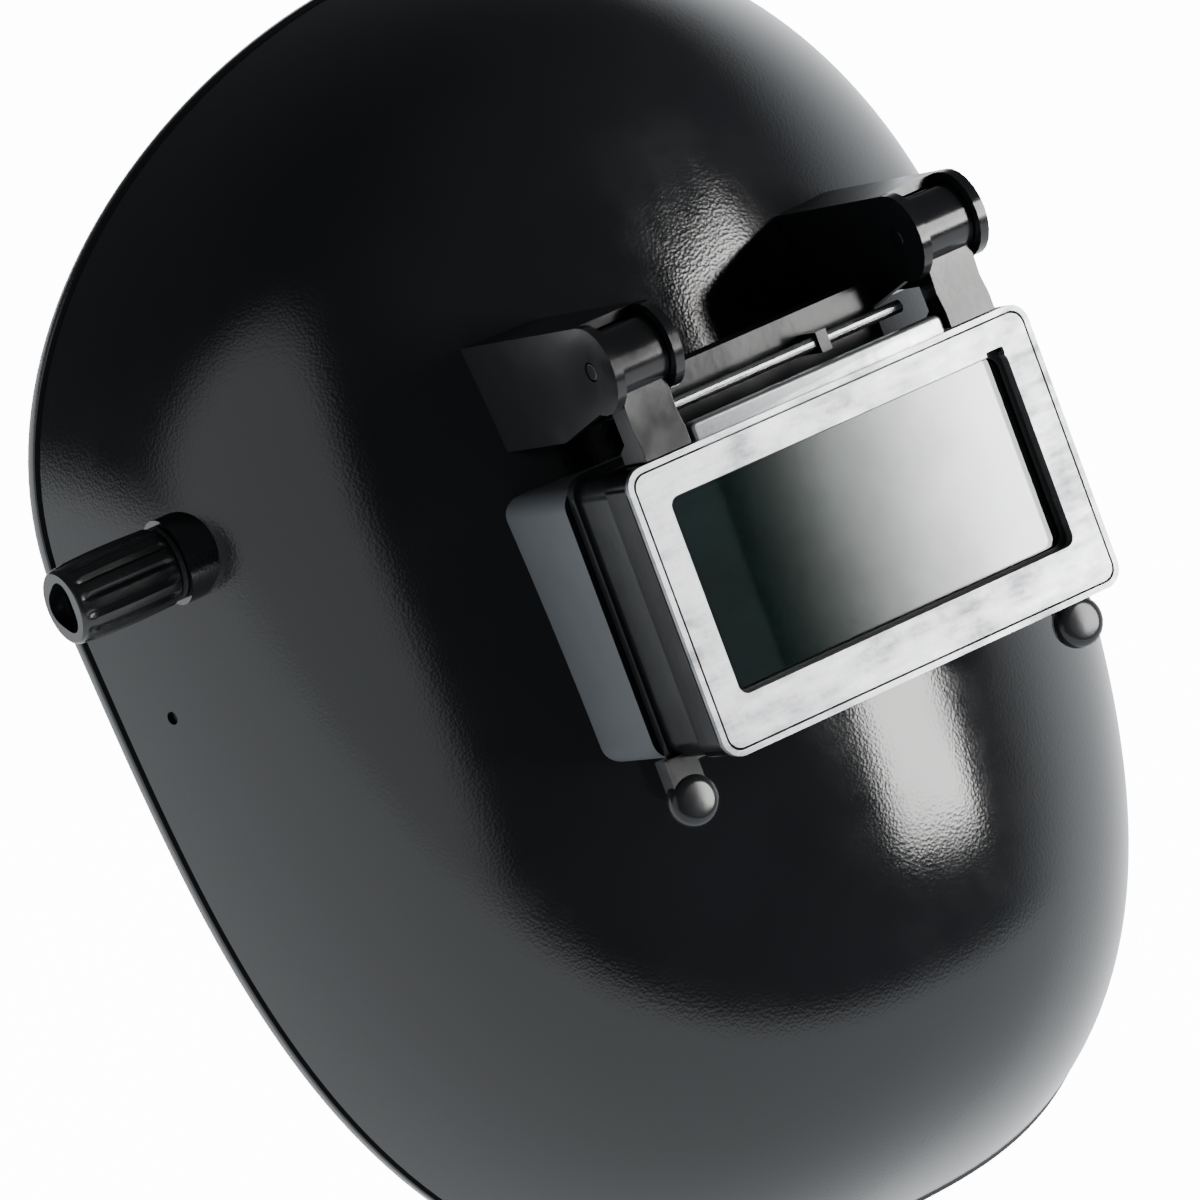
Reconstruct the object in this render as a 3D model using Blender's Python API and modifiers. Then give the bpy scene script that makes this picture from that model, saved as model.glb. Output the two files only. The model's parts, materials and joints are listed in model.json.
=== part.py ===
"""Flip-front welding helmet, modelled as an assembly of separate pieces.

Run with:  blender --background --python part.py
Units are metres. +Z is up, -Y is the front, +X is the wearer's left. The origin is the middle
of the tilt axis, on which the two side bolts lie.
"""

from math import cos, pi, radians, sin, sqrt

import bmesh
import bpy
from mathutils import Matrix, Vector

MM = 0.001
GAP = 0.3 * MM                  # air between two pieces that touch

# ---- shell -------------------------------------------------------------------------------
SHELL_HALF_WIDTH = 129 * MM
SHELL_CROWN_Z = 113.5 * MM
SHELL_CHIN_Z = -221 * MM
SHELL_WIDEST_Z = -5.5 * MM
SHELL_DEPTH = 56 * MM           # from the rim plane to the front, before the bends below
SHELL_WALL = 2.5 * MM
CROWN_POWER = 2.0               # outline exponent above the widest level
CHIN_POWER = 3.0                # outline exponent below it
WALL_POWER = 8.0                # how squarely the front turns into the side walls
FRONT_BEND = 3.69               # y added per x squared, 1/m
RIM_CENTRE_Y = -18 * MM
RIM_LEAN = 0.143                # y added per z
RIM_SWEEP = 0.72                # y added per z squared, 1/m
RIM_LIP = 5 * MM                # width of the flat lip round the rim
RIM_STEP = 1.3 * MM             # how far the lip stands proud of the wall
OUTLINE_STEPS = 48

# ---- window ------------------------------------------------------------------------------
FACE_Y = -123 * MM              # front plane of the closed lens cover
WINDOW_Z = -46 * MM             # middle height of the window
COVER_WIDTH = 118 * MM
COVER_HEIGHT = 72.8 * MM
COVER_DEPTH = 12 * MM
COVER_FRONT = 3.2 * MM
COVER_CORNER = 5 * MM
PLATE_BORDER = 2.4 * MM         # rim of the cover left round the face plate
PLATE_THICKNESS = 1.1 * MM
PLATE_CORNER = 3.2 * MM
VIEW_WIDTH = 99.5 * MM
VIEW_HEIGHT = 50 * MM
VIEW_LIFT = 1.75 * MM           # the opening lies above the middle of the cover
LENS_WIDTH = 110 * MM
LENS_HEIGHT = 60 * MM
LENS_PLAY = 0.4 * MM            # round the edge of each lens
GLASS_THICKNESS = 1.5 * MM
FILTER_THICKNESS = 3 * MM
GASKET_THICKNESS = 1 * MM
RETAINER_THICKNESS = 1.8 * MM

BASE_DEPTH = 17.6 * MM
BASE_WIDTH = 117 * MM
BASE_HEIGHT = 71 * MM
FLANGE_THICKNESS = 3 * MM
FLANGE_WIDTH = 119 * MM
FLANGE_HEIGHT = 73.5 * MM
INNER_LENS_WIDTH = 104 * MM
INNER_LENS_HEIGHT = 56 * MM
INNER_LENS_THICKNESS = 2 * MM
BOSS_WIDTH = 122 * MM
BOSS_HEIGHT = 69 * MM
BOSS_WALL = 2.6 * MM
BOSS_FRONT = 3.5 * MM
BOSS_VIEW_WIDTH = 100 * MM
BOSS_VIEW_HEIGHT = 50 * MM
BASE_SCREW_X = 55.7 * MM
BASE_SCREW_Z = 28.5 * MM
SCREW_RADIUS = 1.4 * MM
SCREW_HEAD_RADIUS = 2.4 * MM
SCREW_HEAD = 1.6 * MM
TAB_X = 58 * MM
TAB_RADIUS = 6.5 * MM
TAB_DROP = 8.5 * MM             # tab centre below the flange's lower edge

# ---- cover hinge -------------------------------------------------------------------------
HINGE_BACK = 5 * MM             # hinge axis behind the cover's face
HINGE_RISE = 61 * MM            # hinge axis above the window's middle
HINGE_X = 45 * MM               # middle of each hinge
BARREL_LENGTH = 13.8 * MM
BARREL_RADIUS = 8.4 * MM
BARREL_PLAY = 0.4 * MM          # between the barrel and the bracket's roof
ROOF_THICKNESS = 2.2 * MM
CHEEK_RADIUS = BARREL_RADIUS + BARREL_PLAY + ROOF_THICKNESS
CHEEK_THICKNESS = 2.5 * MM
HINGE_PIN_RADIUS = 2.2 * MM
BRACKET_BASE = 7 * MM
BRACKET_SCREW = 9 * MM          # length of a bracket screw under its head
BRACKET_DROP = 16 * MM          # bracket's lower edge below the hinge axis
ROD_RADIUS = 1.6 * MM
ROD_BACK = 14 * MM
ROD_RISE = 45 * MM
UPSTAND_TOP = 53 * MM           # top of the base frame's upstand above the window's middle

# ---- side pivots -------------------------------------------------------------------------
PIVOT_SEAT_X = 120 * MM         # outer face of the knob's seat, on the wearer's right
CAP_SEAT_X = 119 * MM           # outer face of the cap nut's seat, on the wearer's left
PIVOT_INNER_X = 109.5 * MM
PIVOT_BOSS_RADIUS = 11 * MM
BOLT_RADIUS = 3 * MM
BOLT_HEAD_RADIUS = 8 * MM
WASHER_THICKNESS = 1.2 * MM
WASHER_RADIUS = 9.6 * MM
KNOB_LENGTH = 28.6 * MM
KNOB_RADIUS = 10.4 * MM
KNOB_FLUTE = 0.7 * MM
KNOB_FLUTES = 12
KNOB_RECESS_RADIUS = 6.9 * MM
KNOB_RECESS = 11 * MM
NUT_THICKNESS = 5.5 * MM
NUT_RADIUS = 5.8 * MM
STOP_Y = 20.5 * MM
STOP_Z = -38 * MM
STOP_RADIUS = 1.4 * MM
STOP_SINK = 1 * MM              # outer end of the pin below the wall's surface
CAP_HEX_RADIUS = 7 * MM
CAP_HEX_LENGTH = 2.2 * MM
CAP_LENGTH = 3.6 * MM
CAP_DOME_RADIUS = 5.6 * MM
CAP_ROOF = 0.9 * MM             # material left over the end of the bore

# ---- harness -----------------------------------------------------------------------------
HEAD_HALF_WIDTH = 78 * MM       # inner face of the headband
HEAD_HALF_LENGTH = 90 * MM
HEAD_CENTRE_Y = 43 * MM
HEAD_POWER = 2.3
BAND_FRONT_Z = 14 * MM
BAND_SLOPE = -0.244             # the band drops towards the nape
BAND_THICKNESS = 1.8 * MM
BAND_FRONT_HEIGHT = 32 * MM
BAND_SIDE_HEIGHT = 20 * MM
BAND_END_X = 28 * MM
SWEATBAND_THICKNESS = 5 * MM
SWEATBAND_HALF_WIDTH = 62 * MM
NAPE_PAD_THICKNESS = 8 * MM
NAPE_PAD_HALF_WIDTH = 40 * MM
PAD_HEIGHT = 30 * MM
CROWN_TOP_Z = 72 * MM
CROWN_Y = 40 * MM
CROWN_STRAP_WIDTH = 18 * MM
CROWN_STRAP_THICKNESS = 1.5 * MM
ARM_THICKNESS = 2.5 * MM
ARM_HEIGHT = 18 * MM
ARM_PIVOT_RADIUS = 12 * MM
RIVET_RADIUS = 2 * MM
RIVET_HEAD_RADIUS = 3.6 * MM

# ---- size adjuster -----------------------------------------------------------------------
PINION_TEETH = 10
TOOTH_MODULE = 1.2 * MM
RACK_THICKNESS = 2 * MM
RACK_HEIGHT = 7 * MM
RACK_REACH = 56 * MM            # outer end of each rack from the middle
RACK_TAIL = 17 * MM             # inner end past the middle
HOUSING_WIDTH = 64 * MM
HOUSING_HEIGHT = 36 * MM
HOUSING_WALL = 2 * MM
ADJUSTER_RADIUS = 17 * MM
ADJUSTER_LENGTH = 14 * MM


# ---- scene and helpers -------------------------------------------------------------------
for old in list(bpy.data.objects):
    bpy.data.objects.remove(old, do_unlink=True)

helmet = bpy.data.collections.new("welding_helmet")
cutters = bpy.data.collections.new("cutters")
bpy.context.scene.collection.children.link(helmet)
bpy.context.scene.collection.children.link(cutters)
cutters.hide_render = True


def material(name, colour, roughness, metallic=0.0):
    """One Principled material."""
    made = bpy.data.materials.new(name)
    made.use_nodes = True
    shader = made.node_tree.nodes["Principled BSDF"]
    shader.inputs["Base Color"].default_value = (*colour, 1.0)
    shader.inputs["Roughness"].default_value = roughness
    shader.inputs["Metallic"].default_value = metallic
    return made


FINISHES = {
    "black": ((0.012, 0.013, 0.015), 0.28, 0.0),
    "satin_black": ((0.02, 0.021, 0.023), 0.5, 0.0),
    "grey": ((0.12, 0.13, 0.14), 0.45, 0.0),
    "silver": ((0.75, 0.76, 0.78), 0.35, 0.8),
    "steel": ((0.55, 0.56, 0.58), 0.3, 1.0),
    "brass": ((0.72, 0.55, 0.28), 0.3, 1.0),
    "rubber": ((0.03, 0.03, 0.03), 0.8, 0.0),
    "dark_glass": ((0.01, 0.03, 0.025), 0.05, 0.0),
    "clear_glass": ((0.75, 0.82, 0.82), 0.05, 0.0),
    "foam": ((0.08, 0.08, 0.09), 0.9, 0.0),
}


def link(name, mesh, collection=helmet):
    piece = bpy.data.objects.new(name, mesh)
    collection.objects.link(piece)
    return piece


def dress(piece, finish, smooth_angle=40):
    """Gives a piece its own material and smooth shading."""
    piece.data.materials.clear()
    piece.data.materials.append(material(piece.name, *FINISHES[finish]))
    piece.data.shade_smooth()
    piece.data.set_sharp_from_angle(angle=radians(smooth_angle))
    return piece


def from_bmesh(name, shape, collection=helmet):
    bmesh.ops.recalc_face_normals(shape, faces=shape.faces)
    mesh = bpy.data.meshes.new(name)
    shape.to_mesh(mesh)
    shape.free()
    return link(name, mesh, collection)


def box(name, low, high, collection=helmet, bevel=0.0, segments=2):
    """A box between two corners."""
    low = Vector(low)
    high = Vector(high)
    shape = bmesh.new()
    placed = Matrix.Translation((low + high) / 2) @ Matrix.Diagonal((*(high - low), 1))
    bmesh.ops.create_cube(shape, size=1, matrix=placed)
    piece = from_bmesh(name, shape, collection)
    if bevel:
        round_edges(piece, bevel, segments)
    return piece


def round_edges(piece, width, segments=2, angle=40):
    """Rounds the sharp edges of a piece."""
    bevel = piece.modifiers.new("Bevel", "BEVEL")
    bevel.width = width
    bevel.segments = segments
    bevel.limit_method = "ANGLE"
    bevel.angle_limit = radians(angle)
    return piece


AXIS_TURN = {
    "X": Matrix.Rotation(pi / 2, 4, "Y"),
    "Y": Matrix.Rotation(-pi / 2, 4, "X"),
    "Z": Matrix.Identity(4),
}


def rod(name, radius, start, end, axis="X", sides=24, collection=helmet):
    """A cylinder whose end faces are centred on two points."""
    start = Vector(start)
    end = Vector(end)
    shape = bmesh.new()
    placed = Matrix.Translation((start + end) / 2) @ AXIS_TURN[axis]
    bmesh.ops.create_cone(
        shape, cap_ends=True, segments=sides, radius1=radius, radius2=radius,
        depth=(end - start).length, matrix=placed)
    return from_bmesh(name, shape, collection)


def turned(name, profile, place, sides=32, collection=helmet):
    """A turned shape. The profile is (radius, height) from top to bottom on the outer side."""
    shape = bmesh.new()
    points = [shape.verts.new((radius, 0, height)) for radius, height in profile]
    for first, second in zip(points, points[1:]):
        shape.edges.new((first, second))
    if profile[0][0] > 0:
        shape.edges.new((points[-1], points[0]))
    mesh = bpy.data.meshes.new(name)
    shape.to_mesh(mesh)
    shape.free()
    piece = link(name, mesh, collection)
    piece.matrix_world = place
    screw = piece.modifiers.new("Screw", "SCREW")
    screw.steps = screw.render_steps = sides
    screw.use_merge_vertices = True
    screw.merge_threshold = 0.00001
    return piece


def rounded_rectangle(width, height, corner, centre=(0, 0), steps=4):
    """Outline points of a rectangle with round corners."""
    points = []
    for turn, (side, rise) in enumerate(((1, 1), (-1, 1), (-1, -1), (1, -1))):
        middle_x = centre[0] + side * (width / 2 - corner)
        middle_y = centre[1] + rise * (height / 2 - corner)
        for step in range(steps + 1):
            angle = pi / 2 * (turn + step / steps)
            points.append((middle_x + corner * cos(angle), middle_y + corner * sin(angle)))
    return points


def circle(radius, centre=(0, 0), sides=20):
    return [(centre[0] + radius * cos(2 * pi * n / sides),
             centre[1] + radius * sin(2 * pi * n / sides)) for n in range(sides)]


def plate(name, outlines, thickness, place, collection=helmet):
    """A flat outline with holes, made thick by half its thickness to each side."""
    curve = bpy.data.curves.new(name, "CURVE")
    curve.dimensions = "2D"
    curve.fill_mode = "BOTH"
    curve.extrude = thickness / 2
    for outline in outlines:
        spline = curve.splines.new("POLY")
        spline.points.add(len(outline) - 1)
        for point, (across, up) in zip(spline.points, outline):
            point.co = (across, up, 0, 1)
        spline.use_cyclic_u = True
    guide = bpy.data.objects.new(name + "_outline", curve)
    cutters.objects.link(guide)
    bpy.context.view_layer.update()
    graph = bpy.context.evaluated_depsgraph_get()
    mesh = bpy.data.meshes.new_from_object(guide.evaluated_get(graph))
    bpy.data.objects.remove(guide)
    mesh.name = name
    shape = bmesh.new()
    shape.from_mesh(mesh)
    bmesh.ops.remove_doubles(shape, verts=shape.verts, dist=0.000005)
    bmesh.ops.recalc_face_normals(shape, faces=shape.faces)
    bmesh.ops.transform(shape, matrix=place, verts=shape.verts)
    shape.to_mesh(mesh)
    shape.free()
    return link(name, mesh, collection)


def facing_front(y, x=0.0, z=0.0):
    """Places an outline drawn in x and y into the X-Z plane at depth y."""
    return Matrix.Translation((x, y, z)) @ Matrix.Rotation(pi / 2, 4, "X")


def facing_side(x, y=0.0, z=0.0):
    """Places an outline drawn as (y, z) into the plane at x."""
    turn = Matrix(((0, 0, 1, 0), (1, 0, 0, 0), (0, 1, 0, 0), (0, 0, 0, 1)))
    return Matrix.Translation((x, y, z)) @ turn


def boolean(piece, other, operation):
    if other.name not in cutters.objects:
        for owner in list(other.users_collection):
            owner.objects.unlink(other)
        cutters.objects.link(other)
    other.hide_render = True
    other.display_type = "WIRE"
    step = piece.modifiers.new(other.name, "BOOLEAN")
    step.operation = operation
    step.object = other
    step.solver = "EXACT"
    return piece


def cut(piece, *tools):
    for tool in tools:
        boolean(piece, tool, "DIFFERENCE")
    return piece


def join(piece, *tools):
    for tool in tools:
        boolean(piece, tool, "UNION")
    return piece


def window_y(back):
    """World y of a depth behind the closed cover's face."""
    return FACE_Y + back


def window_z(rise):
    """World z of a height above the window's middle."""
    return WINDOW_Z + rise


# ---- shell -------------------------------------------------------------------------------
def signed_power(value, power):
    return abs(value) ** power * (1 if value >= 0 else -1)


def outline_point(angle):
    """Point (x, z) of the rim seen from the front."""
    upper = sin(angle) > 0
    power = 2 / (CROWN_POWER if upper else CHIN_POWER)
    reach = SHELL_CROWN_Z - SHELL_WIDEST_Z if upper else SHELL_WIDEST_Z - SHELL_CHIN_Z
    return (SHELL_HALF_WIDTH * signed_power(cos(angle), power),
            SHELL_WIDEST_Z + reach * signed_power(sin(angle), power))


def shell_y(share, x, z):
    """Depth of the outer surface at a share (0 centre, 1 rim) of the outline."""
    rim = RIM_CENTRE_Y + RIM_LEAN * z + RIM_SWEEP * z * z + FRONT_BEND * x * x
    return rim - SHELL_DEPTH * (1 - share ** WALL_POWER)


def shell_point(share, angle):
    x, z = outline_point(angle)
    x *= share
    z = SHELL_WIDEST_Z + share * (z - SHELL_WIDEST_Z)
    return Vector((x, shell_y(share, x, z), z))


def outline_angles():
    """Angles that give even steps along the outline."""
    dense = [outline_point(2 * pi * n / 1440) for n in range(1441)]
    travelled = [0.0]
    for (x0, z0), (x1, z1) in zip(dense, dense[1:]):
        travelled.append(travelled[-1] + sqrt((x1 - x0) ** 2 + (z1 - z0) ** 2))
    angles = []
    at = 0
    for step in range(OUTLINE_STEPS):
        wanted = travelled[-1] * step / OUTLINE_STEPS
        while travelled[at + 1] < wanted:
            at += 1
        share = (wanted - travelled[at]) / (travelled[at + 1] - travelled[at])
        angles.append(2 * pi * (at + share) / 1440)
    return angles


def shell_surface(shares, offset=0.0):
    """Rings of points on the outer surface, moved outwards by an offset along the normal."""
    angles = outline_angles()
    tiny = 0.0005
    rings = []
    for share in shares:
        ring = []
        for angle in angles:
            here = shell_point(share, angle)
            along = shell_point(share, angle + tiny) - shell_point(share, angle - tiny)
            across = here - shell_point(share - tiny, angle)
            ring.append(here + offset * across.cross(along).normalized())
        rings.append(ring)
    return rings


def ring_mesh(name, rings, centre=None, close_end=None, collection=helmet):
    """A skin through rings of points, with a point closing either end."""
    shape = bmesh.new()
    rows = [[shape.verts.new(point) for point in ring] for ring in rings]
    count = len(rings[0])
    for inner, outer in zip(rows, rows[1:]):
        for n in range(count):
            after = (n + 1) % count
            shape.faces.new((inner[n], inner[after], outer[after], outer[n]))
    for point, row in ((centre, rows[0]), (close_end, rows[-1])):
        if point is not None:
            tip = shape.verts.new(point)
            for n in range(count):
                shape.faces.new((tip, row[n], row[(n + 1) % count]))
    return from_bmesh(name, shape, collection)


SHELL_SHARES = (0.2, 0.38, 0.54, 0.67, 0.77, 0.85, 0.91, 0.96, 1.0)


def front_solid(name, offset):
    """Solid that fills the front of the shell up to an offset from its outer surface."""
    rings = shell_surface(SHELL_SHARES[:6], offset)
    centre = shell_point(0.0001, 0) + Vector((0, -offset, 0))
    return ring_mesh(name, rings, centre, Vector((0, 0.05, SHELL_WIDEST_Z)), cutters)


def pivot_seat_x(side):
    return CAP_SEAT_X if side > 0 else PIVOT_SEAT_X


def make_shell():
    rings = shell_surface(SHELL_SHARES)
    lip = []
    for rise, back in ((0.45, 0.2), (1.0, 0.5), (1.0, 1.0)):
        ring = []
        for point, before in zip(rings[-1], rings[-2]):
            out = Vector((point.x - before.x, 0, point.z - before.z)).normalized()
            ring.append(point + out * RIM_STEP * rise + Vector((0, RIM_LIP * back, 0)))
        lip.append(ring)
    shell = ring_mesh("shell", rings + lip, shell_point(0.0001, 0))
    if shell.data.polygons[-1].normal.y > 0:
        shell.data.flip_normals()
    solid = shell.modifiers.new("Solidify", "SOLIDIFY")
    solid.thickness = SHELL_WALL
    solid.offset = -1
    solid.use_even_offset = True

    boss_y = window_y(COVER_DEPTH + GAP + BASE_DEPTH + GAP)
    boss = plate("window_boss", [rounded_rectangle(BOSS_WIDTH, BOSS_HEIGHT, COVER_CORNER)],
                 60 * MM, facing_front(boss_y + 30 * MM, z=WINDOW_Z), cutters)
    cut(boss, front_solid("inner_front", -SHELL_WALL * 0.7))
    join(shell, boss)
    cavity = plate(
        "boss_cavity",
        [rounded_rectangle(BOSS_WIDTH - 2 * BOSS_WALL, BOSS_HEIGHT - 2 * BOSS_WALL, 3 * MM)],
        60 * MM, facing_front(boss_y + BOSS_FRONT + 30 * MM, z=WINDOW_Z), cutters)
    view = plate("boss_view", [rounded_rectangle(BOSS_VIEW_WIDTH, BOSS_VIEW_HEIGHT, 3 * MM)],
                 60 * MM, facing_front(boss_y, z=WINDOW_Z + VIEW_LIFT), cutters)
    cut(shell, cavity, view)
    for side in (-1, 1):
        seat_x = pivot_seat_x(side)
        seat = rod(f"pivot_seat_{side}", PIVOT_BOSS_RADIUS, (side * PIVOT_INNER_X, 0, 0),
                   (side * seat_x, 0, 0), sides=32, collection=cutters)
        join(shell, seat)
        face = rod(f"pivot_face_{side}", PIVOT_BOSS_RADIUS, (side * seat_x, 0, 0),
                   (side * (seat_x + 0.02), 0, 0), sides=32, collection=cutters)
        inner_face = rod(f"pivot_inner_face_{side}", ARM_PIVOT_RADIUS + 1 * MM, (side * 0.09, 0, 0),
                         (side * PIVOT_INNER_X, 0, 0), sides=32, collection=cutters)
        hole = rod(f"pivot_hole_{side}", BOLT_RADIUS + GAP, (side * 0.1, 0, 0),
                   (side * 0.14, 0, 0), sides=24, collection=cutters)
        stop = rod(f"stop_hole_{side}", STOP_RADIUS + GAP, (side * 0.11, STOP_Y, STOP_Z),
                   (side * 0.14, STOP_Y, STOP_Z), sides=16, collection=cutters)
        cut(shell, face, inner_face, hole, stop)
        for rise in (-1, 1):
            x = side * BASE_SCREW_X
            z = WINDOW_Z + rise * BASE_SCREW_Z
            cut(shell, rod(f"base_hole_{side}_{rise}", SCREW_RADIUS + GAP,
                           (x, boss_y - 0.01, z), (x, boss_y + 0.01, z), "Y", 8, cutters))
        for x, z in bracket_screw_places(side):
            seat_y = shell_seat_y(x, z)
            cut(shell, rod(f"bracket_hole_{x:.3f}_{z:.3f}", SCREW_RADIUS + GAP,
                           (x, seat_y - 0.015, z), (x, seat_y + 0.015, z), "Y", 8, cutters))
    return dress(shell, "black", 30)


# ---- window base frame and what it holds ---------------------------------------------------
def make_window_base():
    front_y = window_y(COVER_DEPTH + GAP)
    back_y = front_y + BASE_DEPTH
    frame = plate("window_base_frame", [rounded_rectangle(BASE_WIDTH, BASE_HEIGHT, COVER_CORNER)],
                  BASE_DEPTH, facing_front((front_y + back_y) / 2, z=WINDOW_Z))
    flange = plate(
        "base_flange", [rounded_rectangle(FLANGE_WIDTH, FLANGE_HEIGHT, COVER_CORNER)],
        FLANGE_THICKNESS, facing_front(back_y - FLANGE_THICKNESS / 2, z=WINDOW_Z), cutters)
    lift = (UPSTAND_TOP + COVER_HEIGHT / 4) / 2
    upstand = plate(
        "base_upstand",
        [rounded_rectangle(2 * (HINGE_X - BARREL_LENGTH), UPSTAND_TOP - COVER_HEIGHT / 4, 2 * MM)],
        10 * MM, facing_front(back_y - 5.01 * MM, z=window_z(lift)), cutters)
    clip = box("rod_clip", (9 * MM, window_y(ROD_BACK - 2.6 * MM), window_z(ROD_RISE - 2.6 * MM)),
               (12 * MM, back_y - 2 * MM, window_z(ROD_RISE + 2.6 * MM)), cutters)
    join(frame, flange, upstand, clip)
    for side in (-1, 1):
        low = window_z(-FLANGE_HEIGHT / 2 - TAB_DROP)
        tab = rod(f"tab_{side}", TAB_RADIUS, (side * TAB_X, back_y - 6.5 * MM, low),
                  (side * TAB_X, back_y - 0.01 * MM, low), "Y", 24, cutters)
        round_edges(tab, 2.5 * MM, 3)
        neck = box(f"neck_{side}", (side * TAB_X - 4.4 * MM, back_y - 5 * MM, low),
                   (side * TAB_X + 4.4 * MM, back_y - 0.02 * MM, low + TAB_DROP + 3 * MM), cutters)
        join(frame, tab, neck)
    view = plate("base_view", [rounded_rectangle(VIEW_WIDTH, VIEW_HEIGHT, 3 * MM)], 50 * MM,
                 facing_front(front_y, z=window_z(VIEW_LIFT)), cutters)
    pocket_depth = GAP * 3 + GASKET_THICKNESS + INNER_LENS_THICKNESS + 3.5 * MM
    pocket = plate(
        "base_pocket",
        [rounded_rectangle(INNER_LENS_WIDTH + 2 * LENS_PLAY, INNER_LENS_HEIGHT + 2 * LENS_PLAY, 2 * MM)],
        20 * MM, facing_front(back_y - pocket_depth + 10 * MM, z=window_z(VIEW_LIFT)), cutters)
    groove = rod("rod_groove", ROD_RADIUS + GAP, (-0.05, window_y(ROD_BACK), window_z(ROD_RISE)),
                 (0.05, window_y(ROD_BACK), window_z(ROD_RISE)), "X", 10, cutters)
    cut(frame, view, pocket, groove)
    for side in (-1, 1):
        for rise in (-1, 1):
            x = side * BASE_SCREW_X
            z = WINDOW_Z + rise * BASE_SCREW_Z
            cut(frame, rod(f"base_thread_{side}_{rise}", SCREW_RADIUS + GAP,
                           (x, back_y - 8 * MM, z), (x, back_y + 0.01, z), "Y", 8, cutters))
            end = "left" if side > 0 else "right"
            level = "upper" if rise > 0 else "lower"
            head_y = back_y + GAP + BOSS_FRONT + GAP
            screw_profile = [
                (0, SCREW_HEAD), (SCREW_HEAD_RADIUS * 0.8, SCREW_HEAD),
                (SCREW_HEAD_RADIUS, SCREW_HEAD * 0.5), (SCREW_HEAD_RADIUS, 0),
                (SCREW_RADIUS, 0), (SCREW_RADIUS, -11 * MM), (0, -11 * MM)]
            screw = turned(f"base_screw_{level}_{end}", screw_profile,
                           Matrix.Translation((x, head_y, z)) @ AXIS_TURN["Y"], 10)
            dress(screw, "steel")
    dress(frame, "grey")

    middle = window_z(VIEW_LIFT)
    gasket_y = back_y - pocket_depth + GAP + GASKET_THICKNESS / 2
    gasket = plate(
        "inner_lens_gasket",
        [rounded_rectangle(INNER_LENS_WIDTH, INNER_LENS_HEIGHT, 2 * MM),
         rounded_rectangle(VIEW_WIDTH + 1 * MM, VIEW_HEIGHT + 1 * MM, 2 * MM)],
        GASKET_THICKNESS, facing_front(gasket_y, z=middle))
    dress(gasket, "rubber")
    lens_y = gasket_y + GASKET_THICKNESS / 2 + GAP + INNER_LENS_THICKNESS / 2
    lens = plate("inner_safety_lens", [rounded_rectangle(INNER_LENS_WIDTH, INNER_LENS_HEIGHT, 1 * MM)],
                 INNER_LENS_THICKNESS, facing_front(lens_y, z=middle))
    dress(lens, "clear_glass")
    spring_y = (lens_y + INNER_LENS_THICKNESS / 2 + back_y) / 2
    spring = plate(
        "inner_lens_spring",
        [rounded_rectangle(INNER_LENS_WIDTH - 0.4 * MM, INNER_LENS_HEIGHT - 0.4 * MM, 2 * MM),
         rounded_rectangle(INNER_LENS_WIDTH - 3 * MM, INNER_LENS_HEIGHT - 3 * MM, 2 * MM)],
        1.4 * MM, facing_front(spring_y, z=middle))
    dress(spring, "steel")
    rod_end = HINGE_X - BARREL_LENGTH / 2 - CHEEK_THICKNESS - 1 * MM
    rail = rod("hinge_tension_rod", ROD_RADIUS, (-rod_end, window_y(ROD_BACK), window_z(ROD_RISE)),
               (rod_end, window_y(ROD_BACK), window_z(ROD_RISE)), "X", 16)
    dress(rail, "steel")


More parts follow.
